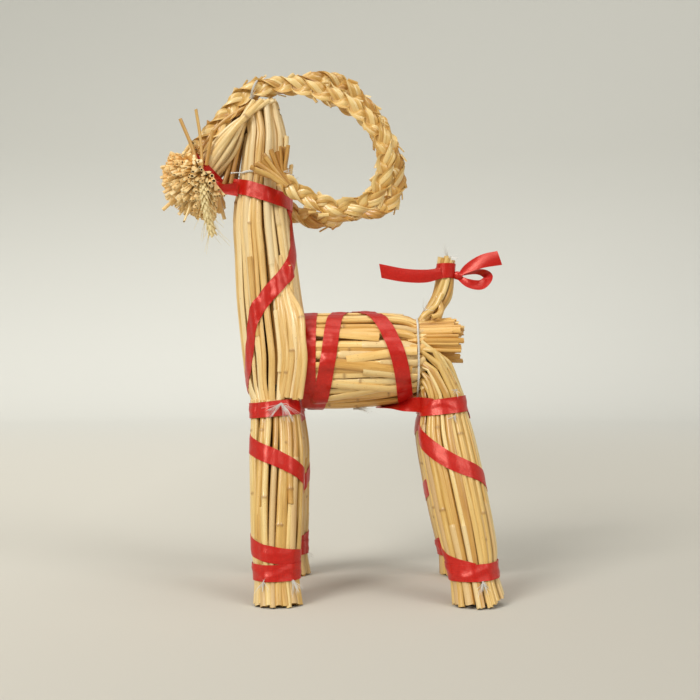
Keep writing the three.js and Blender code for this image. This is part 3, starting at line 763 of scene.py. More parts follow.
def fold_points(cos, sin):
    """The corner where a straw of the neck folds forward, and its way down to the muzzle's tie."""
    up = head.u
    along = math.copysign(abs(cos) ** 0.65, cos)
    fold = np.array((-65.5 + 9.4 * along, 10.6 * sin, 311.8 - 14 * max(0.0, -cos) ** 2))
    tie = MUZZLE_TIE + up * (HEAD_HALF[0] - 1.4) * cos + Y * (HEAD_HALF[1] - 1.4) * sin
    out = up * cos + Y * sin
    middle = blend(fold, tie, 0.5) + out * HEAD_BULGE
    return fold, middle, tie, tie + head.axis * 5 + out * 2.2, out


NECK_HEIGHTS = (130, 147, 165, 184, 200, 215, 230, 245, 256, 264, 272, 282, 291.0)
NECK_DIVE = 2.6            # how far some of the neck's straws sink below the others
DIVE_FROM, DIVE_OVER = 225, 35   # the height where they start to, and over how much more
CHIN_TOP, THROAT_TOP = (-70.0, 0, 311), (-76.5, 0, 296)


def build_neck_and_head():
    """Straws that rise from the forelegs, fold over the crown and are tied at the muzzle."""
    mesh = MeshBuilder()
    add_core(mesh, neck, 126, 292, 7.5)
    add_core(mesh, head, 8, HEAD_LENGTH + 8, 6.5, rows=8)
    heights = np.array(NECK_HEIGHTS)
    for count, inset in NECK_LAYERS:
        for k, angle in places(count, 0.3, missing=0.06):
            radius = rng.uniform(1.5, 2.25)
            leg = forelegs["left" if math.sin(angle) <= 0 else "right"]
            sunk = inset + radius + rng.uniform(0, 1.1)
            turns = angle + rng.normal(0, 0.06) * np.linspace(-1, 1, len(heights))
            dive = NECK_DIVE if k % 5 in (1, 3) else 0.0
            dive_there = dive * np.clip((heights - DIVE_FROM) / DIVE_OVER, 0, 1)
            rise, outs = neck.surface(heights, turns, -sunk - dive_there)
            leg_top, leg_outs = leg.surface(np.array((111.0, 117.0)), np.full(2, angle),
                                            -sunk - 0.5)
            if inset:
                leg_top, leg_outs = leg_top[:0], leg_outs[:0]
            size = 1 - (inset + rng.uniform(0, 1.2) + dive) / 11
            fold, middle, tie, past, out = fold_points(math.cos(angle) * size,
                                                       math.sin(angle) * size)
            fold = fold + rng.normal(0, 0.5, 3)
            bend = kinked((rise[-1], fold, middle), 1.6)[1:-1]
            points = np.concatenate((leg_top, rise, bend, np.array((middle, tie, past))))
            lay = np.concatenate((leg_outs, outs, np.tile(out, (len(bend) + 3, 1))))
            # Straws of the inner layer take darker tones: painted shade between the outer ones.
            add_straw(mesh, points, radius, flat=rng.uniform(1, 1.5), lay=lay,
                      ends=(False, False), sides=8, squeeze=NECK_SQUEEZE,
                      tone=rng.uniform(*(INNER_SHADE_TONES if inset else (0.0, 0.85))))
    # Straight straws lie over the head's sides and top, with darkest ones behind: painted shade
    for _, angle in places(HEAD_STRAWS, 0.25):
        fold, middle, tie, past, out = fold_points(1.06 * math.cos(angle), 1.1 * math.sin(angle))
        middle = middle + out * rng.uniform(0.2, 1.6)
        add_straw(mesh, np.array((fold + rng.normal(0, 0.5, 3), middle, tie, past)),
                  rng.uniform(1.2, 1.8), lay=np.tile(out, (4, 1)), flat=rng.uniform(1, 1.5),
                  ends=(True, False), sides=8, tone=rng.uniform(0.0, 0.7))
    # Painted shade: straws of the darkest tone under the head's top and across the throat.
    for sideways in np.linspace(-6.3, 6.3, PAINTED_SHADE_STRAWS)[:, None] * Y:
        top, bottom = np.array(CHIN_TOP) + sideways, MUZZLE_TIE + head.u * 9 + sideways
        bow = blend(top, bottom, 0.5) + head.u * rng.uniform(3.0, 5.0)
        add_straw(mesh, np.array((top, bow, bottom)), 1.4, tone=1.1, joint=False)
        throat = np.array(THROAT_TOP) + sideways
        foot = np.array((rng.uniform(-91, -81), 0, 258)) + sideways
        add_straw(mesh, np.array((throat, blend(throat, foot, 0.5), foot)), 1.5, tone=1.15,
                  joint=False)
    # The neck's rear straws pass beside the body's front
    for side in SIDES.values():
        for k in range(NECK_REAR_STRAWS):
            back = 2.3 * k + rng.normal(0, 0.3)
            points = np.array(NECK_REAR_STRAW) + (-back, 0, 0)
            points[:, 1] = side * (points[:, 1] - 0.4 * back * NECK_REAR_TUCK)
            points += rng.normal(0, 0.45, points.shape)
            points[:2] = neck.below(points[:2], np.array((-3.6, -1.0)))[0]
            points[0, 2] += rng.uniform(-8, 6)
            add_straw(mesh, points[::-1], rng.uniform(1.5, 2.0), flat=1.3,
                      lay=np.tile(side * Y + 0.2 * X, (6, 1)), ends=(True, False),
                      tone=rng.uniform(0.0, 0.95))
    for angle, low, high, lift in NECK_BROKEN:
        at = np.linspace(low, high, 5)
        points, outs = neck.surface(at, np.full(5, angle), np.linspace(-1.4, lift, 5))
        add_straw(mesh, points, 1.5, flat=1.3, lay=outs, ends=(False, True))
    mesh.build("neck_and_head_straws", pale_straw, "straw", ["neck_and_head_bundle"])
    return mesh


def build_brush():
    """The brush of cut ends past the muzzle's tie: straws splayed onto a ball round it."""
    mesh = MeshBuilder()
    for k in range(BRUSH_STRAWS):
        share = math.sqrt((k + 0.5) / BRUSH_STRAWS)
        turn = k * GOLDEN_ANGLE + rng.normal(0, 0.12)
        sideways = abs(math.cos(turn)) * share
        spread = (BRUSH_SPREAD + BRUSH_SIDE_SPREAD * sideways) * share + rng.normal(0, 0.045)
        way = math.cos(turn) * Y + math.sin(turn) * head.u
        high = max(0.0, way @ head.u) * share
        reach = (BRUSH_RADIUS - 6 * sideways - 4.5 * high) * rng.uniform(0.9, 1.01)
        tip = MUZZLE_TIE + reach * (math.cos(spread) * head.axis + math.sin(spread) * way)
        tip = tip + rng.normal(0, 0.9, 3)
        root = MUZZLE_TIE + head.axis * 1.0 + way * 8.4 * share
        bow = blend(root, tip, 0.5) + way * rng.normal(0.6, 0.7) + head.axis * rng.normal(0, 0.5)
        brown = 0.25 if high > 0.3 else 0.0
        add_straw(mesh, np.array((root, bow, tip)), rng.uniform(0.85, 1.4),
                  flat=rng.uniform(1.0, 1.9), step=6.0, sides=6, joint=False,
                  ends=(False, rng.uniform() < 0.55),
                  tone=rng.uniform(0.0, 0.4) + brown)
    for tip in BRUSH_LONG_TIPS:
        root = MUZZLE_TIE + head.axis * 8
        add_straw(mesh, np.array((root, blend(root, tip, 0.6) + rng.normal(0, 1, 3), tip)), 0.9,
                  flat=1.6, sides=6, joint=False)
    mesh.build("muzzle_brush", brush_straw, "straw", None)


def fill_section(mesh, limb, deep, cut, rings):
    """Cut straws that fill a level bundle's section, from deep inside to the cut face."""
    for ring, count in rings:
        for _, angle in places(count, 0.3):
            half = limb.half(cut) * ring
            spot = (limb.centre(cut) * (0, 1, 1) + half[0] * math.cos(angle) * Y
                    + half[1] * math.sin(angle) * Z)
            end = cut + rng.uniform(-1.5, 1.5)
            add_straw(mesh, np.array([spot + X * x for x in (deep, (deep + end) / 2, end)]),
                      rng.uniform(1.8, 2.3), sides=8)


BODY_FRONT, BODY_REAR = -37.5, 38.5   # X of the cut faces
STUB_TIPS = 62.0                      # about where the rump's stub ends


def build_body():
    """The body's flatter straws; the upper ones run on into the rump's stub."""
    mesh = MeshBuilder()
    add_core(mesh, body, -34, 40, 8)
    for count, inset in BODY_LAYERS:
        for k, angle in places(count, 0.4, missing=0.06):
            onward = math.sin(angle) > 0.45
            last = rng.uniform(57.5, 64.5) if onward else BODY_REAR
            at = np.concatenate((np.linspace(BODY_FRONT, 28, 6),
                                 np.linspace(34, last, 5 if onward else 2)))
            share = (at - BODY_FRONT) / 100
            turns = angle + rng.normal(0, 0.11) * (share - 0.35)
            radius = rng.uniform(1.5, 2.5)
            dive = 2.4 * (k % 2) * np.clip((at - 24) / 12, 0, 1)
            lift = -(inset + 0.75 * radius + rng.uniform(0, 1.4)) - dive
            points, outs = body.surface(at, turns, lift)
            squeeze = (1, 1, 1, 1, 0.92, 0.78, 0.84) if onward else (1, 1, 1, 1, 0.9)
            # Straws of the inner layer take darker tones: painted shade between the outer ones.
            add_straw(mesh, points, radius, flat=rng.uniform(1.3, 2.6), squeeze=squeeze, lay=outs,
                      tone=rng.uniform(*(INNER_SHADE_TONES if inset else (0.0, 0.95))))
    fill_section(mesh, body, -24, BODY_FRONT + 1, FRONT_RINGS)
    fill_section(mesh, body, 28, BODY_REAR, REAR_RINGS)
    for angle, low, high, lean in BODY_REEDS:
        at = np.linspace(low, high, 6)
        points, outs = body.surface(at, angle + lean * np.linspace(-1, 1, 6), np.full(6, -0.4))
        add_straw(mesh, points, rng.uniform(1.5, 2.0), flat=rng.uniform(2.4, 3.4), lay=outs,
                  ends=(True, True))
    # The stub's straws run straight out from under the string to their cut ends
    for ring, count in STUB_RINGS:
        for _, angle in places(count, 0.35):
            end = rng.uniform(55.5, 64.5) - (3.0 if ring < 0.9 else 0.0)
            half = body.half(STUB_TIPS) * (ring + rng.normal(0, 0.03))
            spot = math.cos(angle) * half[0] * Y + math.sin(angle) * half[1] * Z
            points = np.array([body.centre(STUB_TIPS) * (0, 1, 1) + spot * grow + X * x
                               for x, grow in ((27, 0.84), (38, 0.9), (50, 0.96), (end, 1.0))])
            add_straw(mesh, points, rng.uniform(1.1, 1.75), flat=rng.uniform(1, 2.1), sides=8,
                      lay=np.tile(spot + 0.01 * Z, (4, 1)), tone=rng.uniform(0.55, 1.05))
    mesh.build("body_straws", body_straw, "straw", ["body_bundle"])
    return mesh


def build_foreleg(name, limb):
    """An inner layer of straws, darker as painted shade, and a looser outer one."""
    mesh = MeshBuilder()
    add_core(mesh, limb, 3, 116, 7)
    # The inner layer's darker tones are painted shade in the gaps of the outer one.
    lay_straws(mesh, limb, 120.0, 0.0, 21, inset=3.6, radius=(1.3, 1.9), ragged=(0, 4),
               tones=INNER_SHADE_TONES)
    lay_straws(mesh, limb, 120.4, 0.0, 28, radius=(1.5, 2.3), ragged=(0, 2.5), drift=0.12,
               missing=0.07, broken=0.24)
    mesh.build(f"{name}_straws", straw, "straw", [name])
    return mesh


HIP_X, HIP_HEIGHT, HIP_RISE = 36.0, 130, 26   # a rear straw starts higher by the rise
BODY_SECTION = (146.8, 26.5, 25.5)            # the body's middle height and half sizes


def build_hind_leg(name, limb):
    """Straws that leave the body's side at its string and bend down into the leg."""
    mesh = MeshBuilder()
    add_core(mesh, limb, 3, 138, 7)
    side = limb.side
    middle, half_width, half_height = BODY_SECTION
    for count, inset in HIND_LEG_LAYERS:
        for _, angle in places(count, 0.34, missing=0.02):
            radius = rng.uniform(1.4, 2.15)
            sunk = inset + radius + rng.uniform(0, 1.2)
            rear, inward = (1 + math.cos(angle)) / 2, -side * math.sin(angle)
            height = HIP_HEIGHT + HIP_RISE * rear + rng.normal(0, 1.6)
            bulge = math.sqrt(max(0.0, 1 - ((height - middle) / half_height) ** 2))
            depth = half_width * bulge - 9 * max(0.0, inward) - 1.2 - sunk * 0.6
            start = np.array((HIP_X, side * depth, height))
            foot = rng.uniform(0, 2.5) + (2 if inset else 5.5 * max(0.0, math.cos(angle)) ** 2)
            heights = np.concatenate((np.array((124, 118, 112.0)), np.linspace(100, foot, 8)))
            turns = angle + rng.normal(0, 0.1) * np.linspace(-0.5, 1, 11)
            down, outs = limb.surface(heights, turns, -sunk)
            hip = blend(start, down[0], rng.uniform(0.25, 0.65))
            hip = hip + np.array((2.2 * rear + rng.normal(0, 0.8), side * rng.uniform(-1.2, 2.4),
                                  2.2 + 2.5 * rear + rng.normal(0, 0.8)))
            bend = kinked((start, hip, down[0]), 0.8)[:-1]
            points = np.concatenate((bend, down))
            lay = np.concatenate((np.tile(side * Y + 0.3 * Z, (len(bend), 1)), outs))
            # Straws of the inner layer take darker tones: painted shade between the outer ones.
            add_straw(mesh, points, radius, flat=rng.uniform(1.0, 1.6), lay=lay, step=2.8,
                      squeeze=(0.66, 0.78, 0.9, 1, 1, 1, 1),
                      tone=rng.uniform(*(INNER_SHADE_TONES if inset else (0.0, 1.0))))
    mesh.build(f"{name}_straws", straw, "straw", [name])
    return mesh


TAIL_RINGS = ((1.0, 9), (0.45, 4))   # (share of the tail's section, straws)
TAIL_FOOT, TAIL_TOP = 167, 212.5


def build_tail():
    """Two rings of straws that rise from the rump, and the loose leaves beside them."""
    mesh = MeshBuilder()
    for ring, count in TAIL_RINGS:
        for k in range(count):
            at = np.linspace(TAIL_FOOT, TAIL_TOP - rng.uniform(0, 3.5), 14)
            half = tail.half(at) * ring - 1.2 * ring
            turn = k * 2 * math.pi / count + 0.03 * (at - TAIL_FOOT) + rng.normal(0, 0.06)
            out = unit(np.cos(turn)[:, None] * X + np.sin(turn)[:, None] * Y)
            points = (tail.centre(at) + np.cos(turn)[:, None] * half[:, :1] * X
                      + np.sin(turn)[:, None] * half[:, 1:] * Y)
            points[:, 0] -= np.maximum(0, TAIL_FOOT + 5 - at) * 0.8
            add_straw(mesh, points, rng.uniform(1.4, 1.8), flat=rng.uniform(1.1, 1.6), sides=8,
                      lay=out, step=2.5, joint=False, tone=(0.1, 0.8, 0.4)[k % 3])
    for points in TAIL_LEAVES:
        add_straw(mesh, points, 1.3, flat=2.0, step=2.5)
    mesh.build("tail_straws", straw, "straw", ["tail"])
    return mesh


brush_straw = straw_material("brush_straw", BRUSH_GOLD, (0.4, 0.65))
neck_mesh = build_neck_and_head()
build_brush()
body_mesh = build_body()
foreleg_meshes = {side: build_foreleg(f"foreleg_{side}", forelegs[side]) for side in SIDES}
hind_leg_meshes = {side: build_hind_leg(f"hind_leg_{side}", hind_legs[side]) for side in SIDES}
tail_mesh = build_tail()

# ---------------------------------------------------------------- plaited horns


def build_horn(side):
    """Three flat strands of straw plaited along the horn, with a fan of ends past the tie."""
    mesh = MeshBuilder()
    curve = smooth_path(on_side(SIDES[side], HORNS[side]), 1.5)
    along = distances(curve)
    tangent = unit(np.gradient(curve, axis=0))
    across = unit(np.cross(tangent, Y))
    face = np.cross(across, tangent)
    phase = 2 * math.pi * along / (3 * PLAIT_PITCH)
    loose = rng.normal(0, 0.5, 9)
    sway = np.sin(along[:, None] * np.linspace(0.03, 0.2, 9) + loose * 6) @ loose * 0.25
    for strand in range(3):
        turn = phase + strand * 2 * math.pi / 3 + 0.15 * sway
        middle = (curve + across * (STRAND_SWING * (1 + 0.08 * sway) * np.sin(turn))[:, None]
                  + face * (STRAND_DEPTH * np.sin(2 * turn))[:, None])
        way = unit(np.gradient(middle, axis=0))
        # The flat strand lies on the plait's faces and folds round its edges
        roll = turn - EDGE_FOLD * np.sin(2 * turn)
        facing = face * np.cos(roll)[:, None] + across * np.sin(roll)[:, None]
        flat_across = unit(np.cross(facing, way))
        for lane, spot in enumerate(STRAND_LANES):
            offset = spot + 0.35 * np.sin(along * 0.09 + rng.uniform(0, 6.28))
            lift = 0.3 * (lane % 2) + rng.normal(0, 0.12)
            shift = flat_across * offset[:, None] + facing * lift
            add_straw(mesh, middle + shift, rng.uniform(0.75, 0.95), flat=rng.uniform(3.2, 4.6),
                      sides=8, step=1.9, lay=facing, ends=(True, False), joint=False)
    add_straw(mesh, curve[2:-2], 1.75, flat=5.5, sides=8, lay=face[2:-2], joint=False, tone=0.75,
              ends=(False, False))
    # Split straws that stick out of the plait
    for _ in range(HORN_SPLITS):
        i = int(rng.uniform(12, len(curve) - 12))
        outward = across[i] * (1 if rng.uniform() < 0.6 else -1)
        root = curve[i] + outward * 4.8 + face[i] * rng.normal(0, 1.2)
        tip = root + tangent[i] * rng.uniform(3.5, 7) + outward * rng.uniform(1.2, 2.8)
        add_straw(mesh, np.array((root, blend(root, tip, 0.5), tip)), rng.uniform(0.5, 0.9),
                  flat=2.4, sides=6, step=2.0, joint=False)
    end = curve[-1]
    out = unit(np.array(HORN_FAN))
    wide = np.cross(out, Y)
    for k, share in enumerate(np.linspace(-1, 1, HORN_FAN_STRAWS)):
        lean = share * 0.62 + rng.normal(0, 0.05)
        way = math.cos(lean) * out + math.sin(lean) * wide
        layer = ((k % 3) - 1) * 1.25
        root = end - tangent[-1] * 5 + wide * share * 2.2 + Y * layer * 0.5
        bend = end + way * 6 + wide * share * 1.4 + Y * layer
        tip = (end + way * HORN_FAN_LENGTH * rng.uniform(0.8, 1.04) + wide * share * 2.5
               + Y * layer * 1.4)
        tip = tip + Y * SIDES[side] * rng.uniform(0, 2.4)
        add_straw(mesh, np.array((root, bend, blend(bend, tip, 0.5), tip)), rng.uniform(1.3, 1.9),
                  flat=rng.uniform(1.1, 1.7), sides=8, step=3.5, joint=False,
                  tone=rng.uniform(0.75, 1.1))
    # Loose ends where the plait begins at the muzzle
    start, back = curve[0], -tangent[0]
    for _ in range(HORN_LOOSE_ENDS):
        way = unit(back + across[0] * rng.normal(0, 0.32) + face[0] * rng.normal(0, 0.3))
        root = start - back * 5 + across[0] * rng.normal(0, 2.4) + face[0] * rng.normal(0, 1.4)
        tip = start + way * rng.uniform(2, 9) + (root - start + back * 5) * 0.7
        add_straw(mesh, np.array((root, blend(root, tip, 0.5), tip)), rng.uniform(0.8, 1.2),
                  flat=1.4, sides=7, joint=False)
    mesh.build(f"horn_{side}_plait", plait_straw, "plait", [f"horn_{side}"])


plait_straw = straw_material("plait_straw", PLAIT_GOLD)
for side in SIDES:
    build_horn(side)

# ---------------------------------------------------------------- ribbon


def ribbon_material():
    """Satin: fine threads along and across the ribbon, and a broad soft gloss."""
    n = Nodes("satin_ribbon")
    along, around, tone = n.value("along"), n.value("around"), n.value("tone")
    lengthwise = n.streaks((along, 0.25), (around, 5.0), tone)
    crosswise = n.streaks((along, 5.0), (around, 0.35), tone)
    shade = n.math("ADD", n.math("MULTIPLY", lengthwise, 0.45),
                   n.math("MULTIPLY", crosswise, 0.55))
    n.colour(n.ramp(shade, RIBBON_RED))
    n.bump(n.math("ADD", crosswise, lengthwise), 0.42, 0.00014)
    n.set(Roughness=0.29, IOR=1.6, Specular_IOR_Level=1.0)
    n.shader.inputs["Specular Tint"].default_value = (1.0, 0.4, 0.33, 1)
    return n.material


def add_ribbon(mesh, top, normal, *, loop=False, tone=0.0):
    """A thin ribbon from rows of points across its upper face."""
    rows, sides = len(top), 2 * ACROSS
    bottom = top - normal * RIBBON_THICK
    rings = np.concatenate((top, bottom[:, ::-1]), axis=1)
    span = np.linspace(-1, 1, ACROSS)
    half = np.linalg.norm(top[rows // 2, 0] - top[rows // 2, -1]) / 2
    mesh.add(rings.reshape(-1, 3), ring_faces(rows, sides, "joined" if loop else "capped"),
             along=np.repeat(distances(top[:, ACROSS // 2]), sides),
             around=np.tile(np.concatenate((span, span[::-1])) * half, rows), tone=tone)


def running(pick, values, axis, loop=False, reach=1):
    """A running np.max or np.mean over each value's neighbours along an axis."""
    wide = [(0, 0)] * values.ndim
    wide[axis] = (reach, reach)
    padded = np.pad(values, wide, mode="wrap" if loop else "edge")
    size = values.shape[axis]
    return pick([np.take(padded, range(k, k + size), axis) for k in range(2 * reach + 1)], axis=0)


def rest_height(tree, points, outs, reach=5.0):
    """How far the straws under each point stand above or below it."""
    height = np.full(len(points), -1.5)
    for i, (point, out) in enumerate(zip(points, outs)):
        hit = tree.ray_cast(Vector(point + out * reach), Vector(-out), reach + 3)
        if hit[0] is not None:
            height[i] = reach - hit[3]
    return height


def lay_ribbon(mesh, tree, limb, route, *, width=RIBBON_WIDTH, loop=False, lift=RIBBON_LIFT,
               tone=0.0, crease=0.15):
    """A ribbon pulled taut over the straws along a route of angle and place on the limb."""
    middle, out = limb.surface(route[:, 1], route[:, 0])
    ahead = np.roll(middle, -1, 0) - np.roll(middle, 1, 0) if loop else np.gradient(middle, axis=0)
    across = unit(np.cross(ahead, out))
    offsets = np.linspace(-width / 2, width / 2, ACROSS)
    free = middle[:, None] + across[:, None] * offsets[:, None]
    base, outs = limb.below(free.reshape(-1, 3))
    height = rest_height(tree, base, outs).reshape(len(route), ACROSS)
    for pick in (np.max, np.mean):
        height = running(pick, running(pick, height, 0, loop=loop), 1)
    span, walk = np.linspace(-1, 1, ACROSS)[None], np.arange(len(route))[:, None]
    fold = np.sin(walk * 2 * math.pi * 3 / len(route) + tone) * 0.45
    height = height + crease * np.exp(-((span - fold) / 0.3) ** 2)
    rows = base.reshape(free.shape) + outs.reshape(free.shape) * (height + lift)[..., None]
    add_ribbon(mesh, rows, outs.reshape(free.shape), loop=loop, tone=tone)


def band_route(at, tilt=0.0, steps=84):
    """A ring round a limb, tilted up at the angle 0."""
    return np.stack((circle(steps), at + tilt * np.cos(circle(steps))), -1)


def spiral_route(marks, side, limb, step=1.25):
    """A route through marks of turns and place, with its points step apart on the limb."""
    marks = np.array(marks, float)
    turns = np.linspace(marks[0, 0], marks[-1, 0], 400)
    at = hermite(marks[:, 0], marks[:, 1:], turns)[:, 0]
    route = np.stack((side * 2 * math.pi * (0.5 - turns), at), -1)
    points, _ = limb.surface(route[:, 1], route[:, 0])
    along = distances(points)
    where = np.linspace(0, along[-1], int(along[-1] / step))
    return np.stack([np.interp(where, along, route[:, k]) for k in (0, 1)], -1)


def add_free_ribbon(mesh, points, acrosses, widths, *, cup=0.0, slant=0.0, tone=0.0):
    """A loose stretch of ribbon; cup bows it across, and slant cuts its last end askew."""
    table = np.concatenate((points, acrosses, np.array(widths, float)[:, None]), axis=1)
    at = distances(table[:, :3])
    where = np.linspace(0, at[-1], max(6, int(at[-1] / 1.1)))
    table = hermite(at, table, where)
    path, across, size = table[:, :3], unit(table[:, 3:6]), table[:, 6]
    ahead = unit(np.gradient(path, axis=0))
    across = unit(across - ahead * np.sum(across * ahead, axis=1, keepdims=True))
    normal = np.cross(ahead, across)
    span = np.linspace(-1, 1, ACROSS)
    side = span[None, :, None] * (size / 2)[:, None, None] * across[:, None]
    lift = cup * (span ** 2 - 0.4)
    rows = path[:, None] + side + normal[:, None] * lift[None, :, None]
    if slant:
        near_end = np.clip((where - where[-1] + abs(slant)) / abs(slant), 0, 1)
        rows = rows + ahead[:, None] * (near_end[:, None] * span[None] * slant / 2)[..., None]
    add_ribbon(mesh, rows, np.broadcast_to(normal[:, None], rows.shape), tone=tone)


satin = ribbon_material()


def build_leg_ribbons():
    """Each leg's spiral and bands, as one piece for each leg."""
    for kind, limbs, meshes, bands, spirals in (
        ("foreleg", forelegs, foreleg_meshes, FORELEG_BANDS, FORELEG_RIBBON),
        ("hind_leg", hind_legs, hind_leg_meshes, HIND_BANDS, HIND_RIBBON),
    ):
        for side, sign in SIDES.items():
            mesh, tree, limb = MeshBuilder(), meshes[side].tree(), limbs[side]
            lay_ribbon(mesh, tree, limb, spiral_route(spirals[side], sign, limb), tone=1.0)
            for height, tilt in bands:
                lay_ribbon(mesh, tree, limb, band_route(height, tilt), loop=True, lift=0.75,
                           tone=height, crease=0.45)
            if kind == "hind_leg":
                points, acrosses, widths = BELLY_RIBBON
                add_free_ribbon(mesh, on_side(sign, points), on_side(sign, acrosses), widths,
                                cup=0.3)
            mesh.build(f"{kind}_satin_{side}", satin, "ribbon", [f"{kind}_ribbon_{side}"])


def build_neck_ribbon():
    """The neck's two spirals, the collar, the muzzle's two turns and the link to them."""
    mesh, tree = MeshBuilder(), neck_mesh.tree()
    for sign in (-1, 1):
        lay_ribbon(mesh, tree, neck, spiral_route(NECK_RIBBON, sign, neck), tone=2 + sign)
    lay_ribbon(mesh, tree, neck, band_route(COLLAR_HEIGHT, -COLLAR_TILT), loop=True, lift=0.8,
               tone=5.0)
    lay_ribbon(mesh, tree, head, band_route(HEAD_LENGTH - 1.5), width=5.2, loop=True, tone=7.0)
    lay_ribbon(mesh, tree, head, band_route(HEAD_LENGTH - 0.2, 1.6), width=3.6, loop=True,
               lift=0.8, tone=9.0)
    add_free_ribbon(mesh, *MUZZLE_LINK, cup=0.9, tone=6.0)
    mesh.build("neck_satin", satin, "ribbon", ["neck_ribbon"])


def build_body_ribbon():
    """The ring round the body and the straps laid over it."""
    mesh, tree = MeshBuilder(), body_mesh.tree()
    lay_ribbon(mesh, tree, body, band_route(BODY_RING_X, steps=150), loop=True)
    for k, marks in enumerate(BODY_STRAPS):
        lay_ribbon(mesh, tree, body, spiral_route(marks, 1, body), lift=0.5 + 0.35 * k,
                   tone=3.0 + k)
    mesh.build("body_satin", satin, "ribbon", ["body_ribbon"])


def build_bow():
    """Two turns round the tail with two free ends, a loop and the knot."""
    mesh, tree = MeshBuilder(), tail_mesh.tree()
    lay_ribbon(mesh, tree, tail, band_route(BOW_HEIGHT, steps=40), width=9.5, loop=True)
    lay_ribbon(mesh, tree, tail, band_route(BOW_HEIGHT - 0.6, 1.2, steps=40), width=8, loop=True,
               lift=0.75, tone=2.0)
    add_free_ribbon(mesh, *BOW_TAIL_LEFT, slant=3.2, tone=4.0, cup=0.4)
    add_free_ribbon(mesh, *BOW_TAIL_RIGHT, slant=-1.5, tone=5.0, cup=-0.6)
    add_free_ribbon(mesh, *BOW_LOOP, tone=6.0, cup=0.5)
    turns, span = circle(30), np.linspace(-1, 1, ACROSS)
    for k, (tilt, size) in enumerate(BOW_KNOT_TURNS):
        ahead = np.array((math.cos(tilt), 0, math.sin(tilt)))
        up = np.cross(ahead, Y)
        out = np.cos(turns)[:, None] * up + np.sin(turns)[:, None] * Y
        bulge = 1 - 0.35 * span ** 2
        rows = (np.array(BOW_KNOT) + out[:, None] * (size * bulge)[None, :, None]
                + ahead * (span * BOW_KNOT_HALF)[None, :, None])
        add_ribbon(mesh, rows, np.broadcast_to(out[:, None], rows.shape), loop=True, tone=8.0 + k)
    mesh.build("bow_satin", satin, "ribbon", ["tail_bow"])


build_leg_ribbons()
build_neck_ribbon()
build_body_ribbon()
build_bow()

# ---------------------------------------------------------------- string, ear and stems


def string_material():
    """White fibre with streaks along the string."""
    n = Nodes("white_string")
    along, around = n.value("along"), n.value("around")
    fibre = n.streaks((around, 7.0), (along, 0.8))
    n.colour(n.ramp(fibre, [(0.2, (0.62, 0.60, 0.54)), (0.6, (0.86, 0.85, 0.81))]))
    n.bump(fibre, 0.4, 0.00008)
    n.set(Roughness=0.38, Specular_IOR_Level=0.6, Transmission_Weight=0.12)
    return n.material


def add_fibre(mesh, points, radius, sides=4, step=1.6):
    """A fine hair that tapers to its tip."""
    path = smooth_path(points, step)
    across, up, _ = frames_along(path, np.cross(unit(path[1] - path[0]), (0.31, 0.77, 0.56)))
    add_tube(mesh, path, across, up, radius * np.linspace(1, 0.45, len(path)), sides, "capped",
             distances(path), rng.uniform())


def add_string(mesh, loop, out):
    """Three strands twisted round each other along a closed loop of points."""
    ahead = unit(np.roll(loop, -1, 0) - np.roll(loop, 1, 0))
    side = np.cross(ahead, out)
    along = distances(loop)
    whole = along[-1] + np.linalg.norm(loop[0] - loop[-1])
    for strand in range(3):
        turns = round(whole * STRING_TWIST) * along / whole + strand / 3
        spin = 2 * math.pi * turns[:, None]
        middle = loop + STRING_COIL * (np.cos(spin) * out + np.sin(spin) * side)
        add_tube(mesh, middle, out, side, STRING_RADIUS, 6, "joined", along, strand / 3)


def string_round(mesh, tree, limb, at, lift):
    """A string tied round a limb, at rest on its straws."""
    route = band_route(at, steps=220)
    base, outs = limb.surface(route[:, 1], route[:, 0])
    height = rest_height(tree, base, outs)[:, None]
    for pick in (np.max, np.mean):
        height = running(pick, height, 0, loop=True, reach=3)
    add_string(mesh, base + outs * (height + lift), outs)


def add_tuft(mesh, root, way, length, spread, count=14, droop=0.0):
    """Frayed string ends: thin fibres spread about a way, and bent down by droop."""
    root, way = np.array(root, float), unit(np.array(way, float))
    for _ in range(count):
        go = unit(way + rng.normal(0, spread, 3))
        reach = length * rng.uniform(0.5, 1.0)
        curl = rng.normal(0, 0.14, 3) * reach
        tip = root + go * reach + curl - Z * droop * reach
        mid = root + go * reach * 0.5 + curl * 0.2
        add_fibre(mesh, np.array((root + rng.normal(0, 0.3, 3), mid, tip)), rng.uniform(0.11, 0.2))


white = string_material()


def build_strings():
    """The white strings round the body and the neck, with their frayed ends."""
    mesh = MeshBuilder()
    string_round(mesh, body_mesh.tree(), body, BODY_STRING_X, 0.5)
    for tuft in BODY_STRING_TUFTS:
        add_tuft(mesh, *tuft)
    mesh.build("body_cord", white, "string", ["body_string"])
    mesh = MeshBuilder()
    string_round(mesh, neck_mesh.tree(), neck, NECK_STRING_Z, 0.6)
    for side in SIDES.values():
        root, way, *rest = NECK_STRING_TUFT
        add_tuft(mesh, on_side(side, root), on_side(side, way), *rest)
    mesh.build("neck_cord", white, "string", ["neck_string"])
    mesh = MeshBuilder()
    x, z, half_y, half_z = CROWN_STRING
    cos, sin = np.cos(circle(120))[:, None], np.sin(circle(120))[:, None]
    loop = (x, 0, z) + cos * half_y * Y + sin * half_z * (Z - CROWN_STRING_LEAN * X)
    add_string(mesh, loop, cos * Y + sin * Z)
    add_tuft(mesh, *CROWN_STRING_TUFT)
    mesh.build("crown_cord", white, "string", ["crown_string"])


def build_tufts():
    """Frayed ends of the white string that binds the straws under the ribbons."""
    mesh = MeshBuilder()
    for side in SIDES.values():
        for root, way, *rest in PAIRED_TUFTS:
            add_tuft(mesh, on_side(side, root), on_side(side, way), *rest)
    for tuft in SINGLE_TUFTS:
        add_tuft(mesh, *tuft)
    mesh.build("string_ends", white, "string", None)


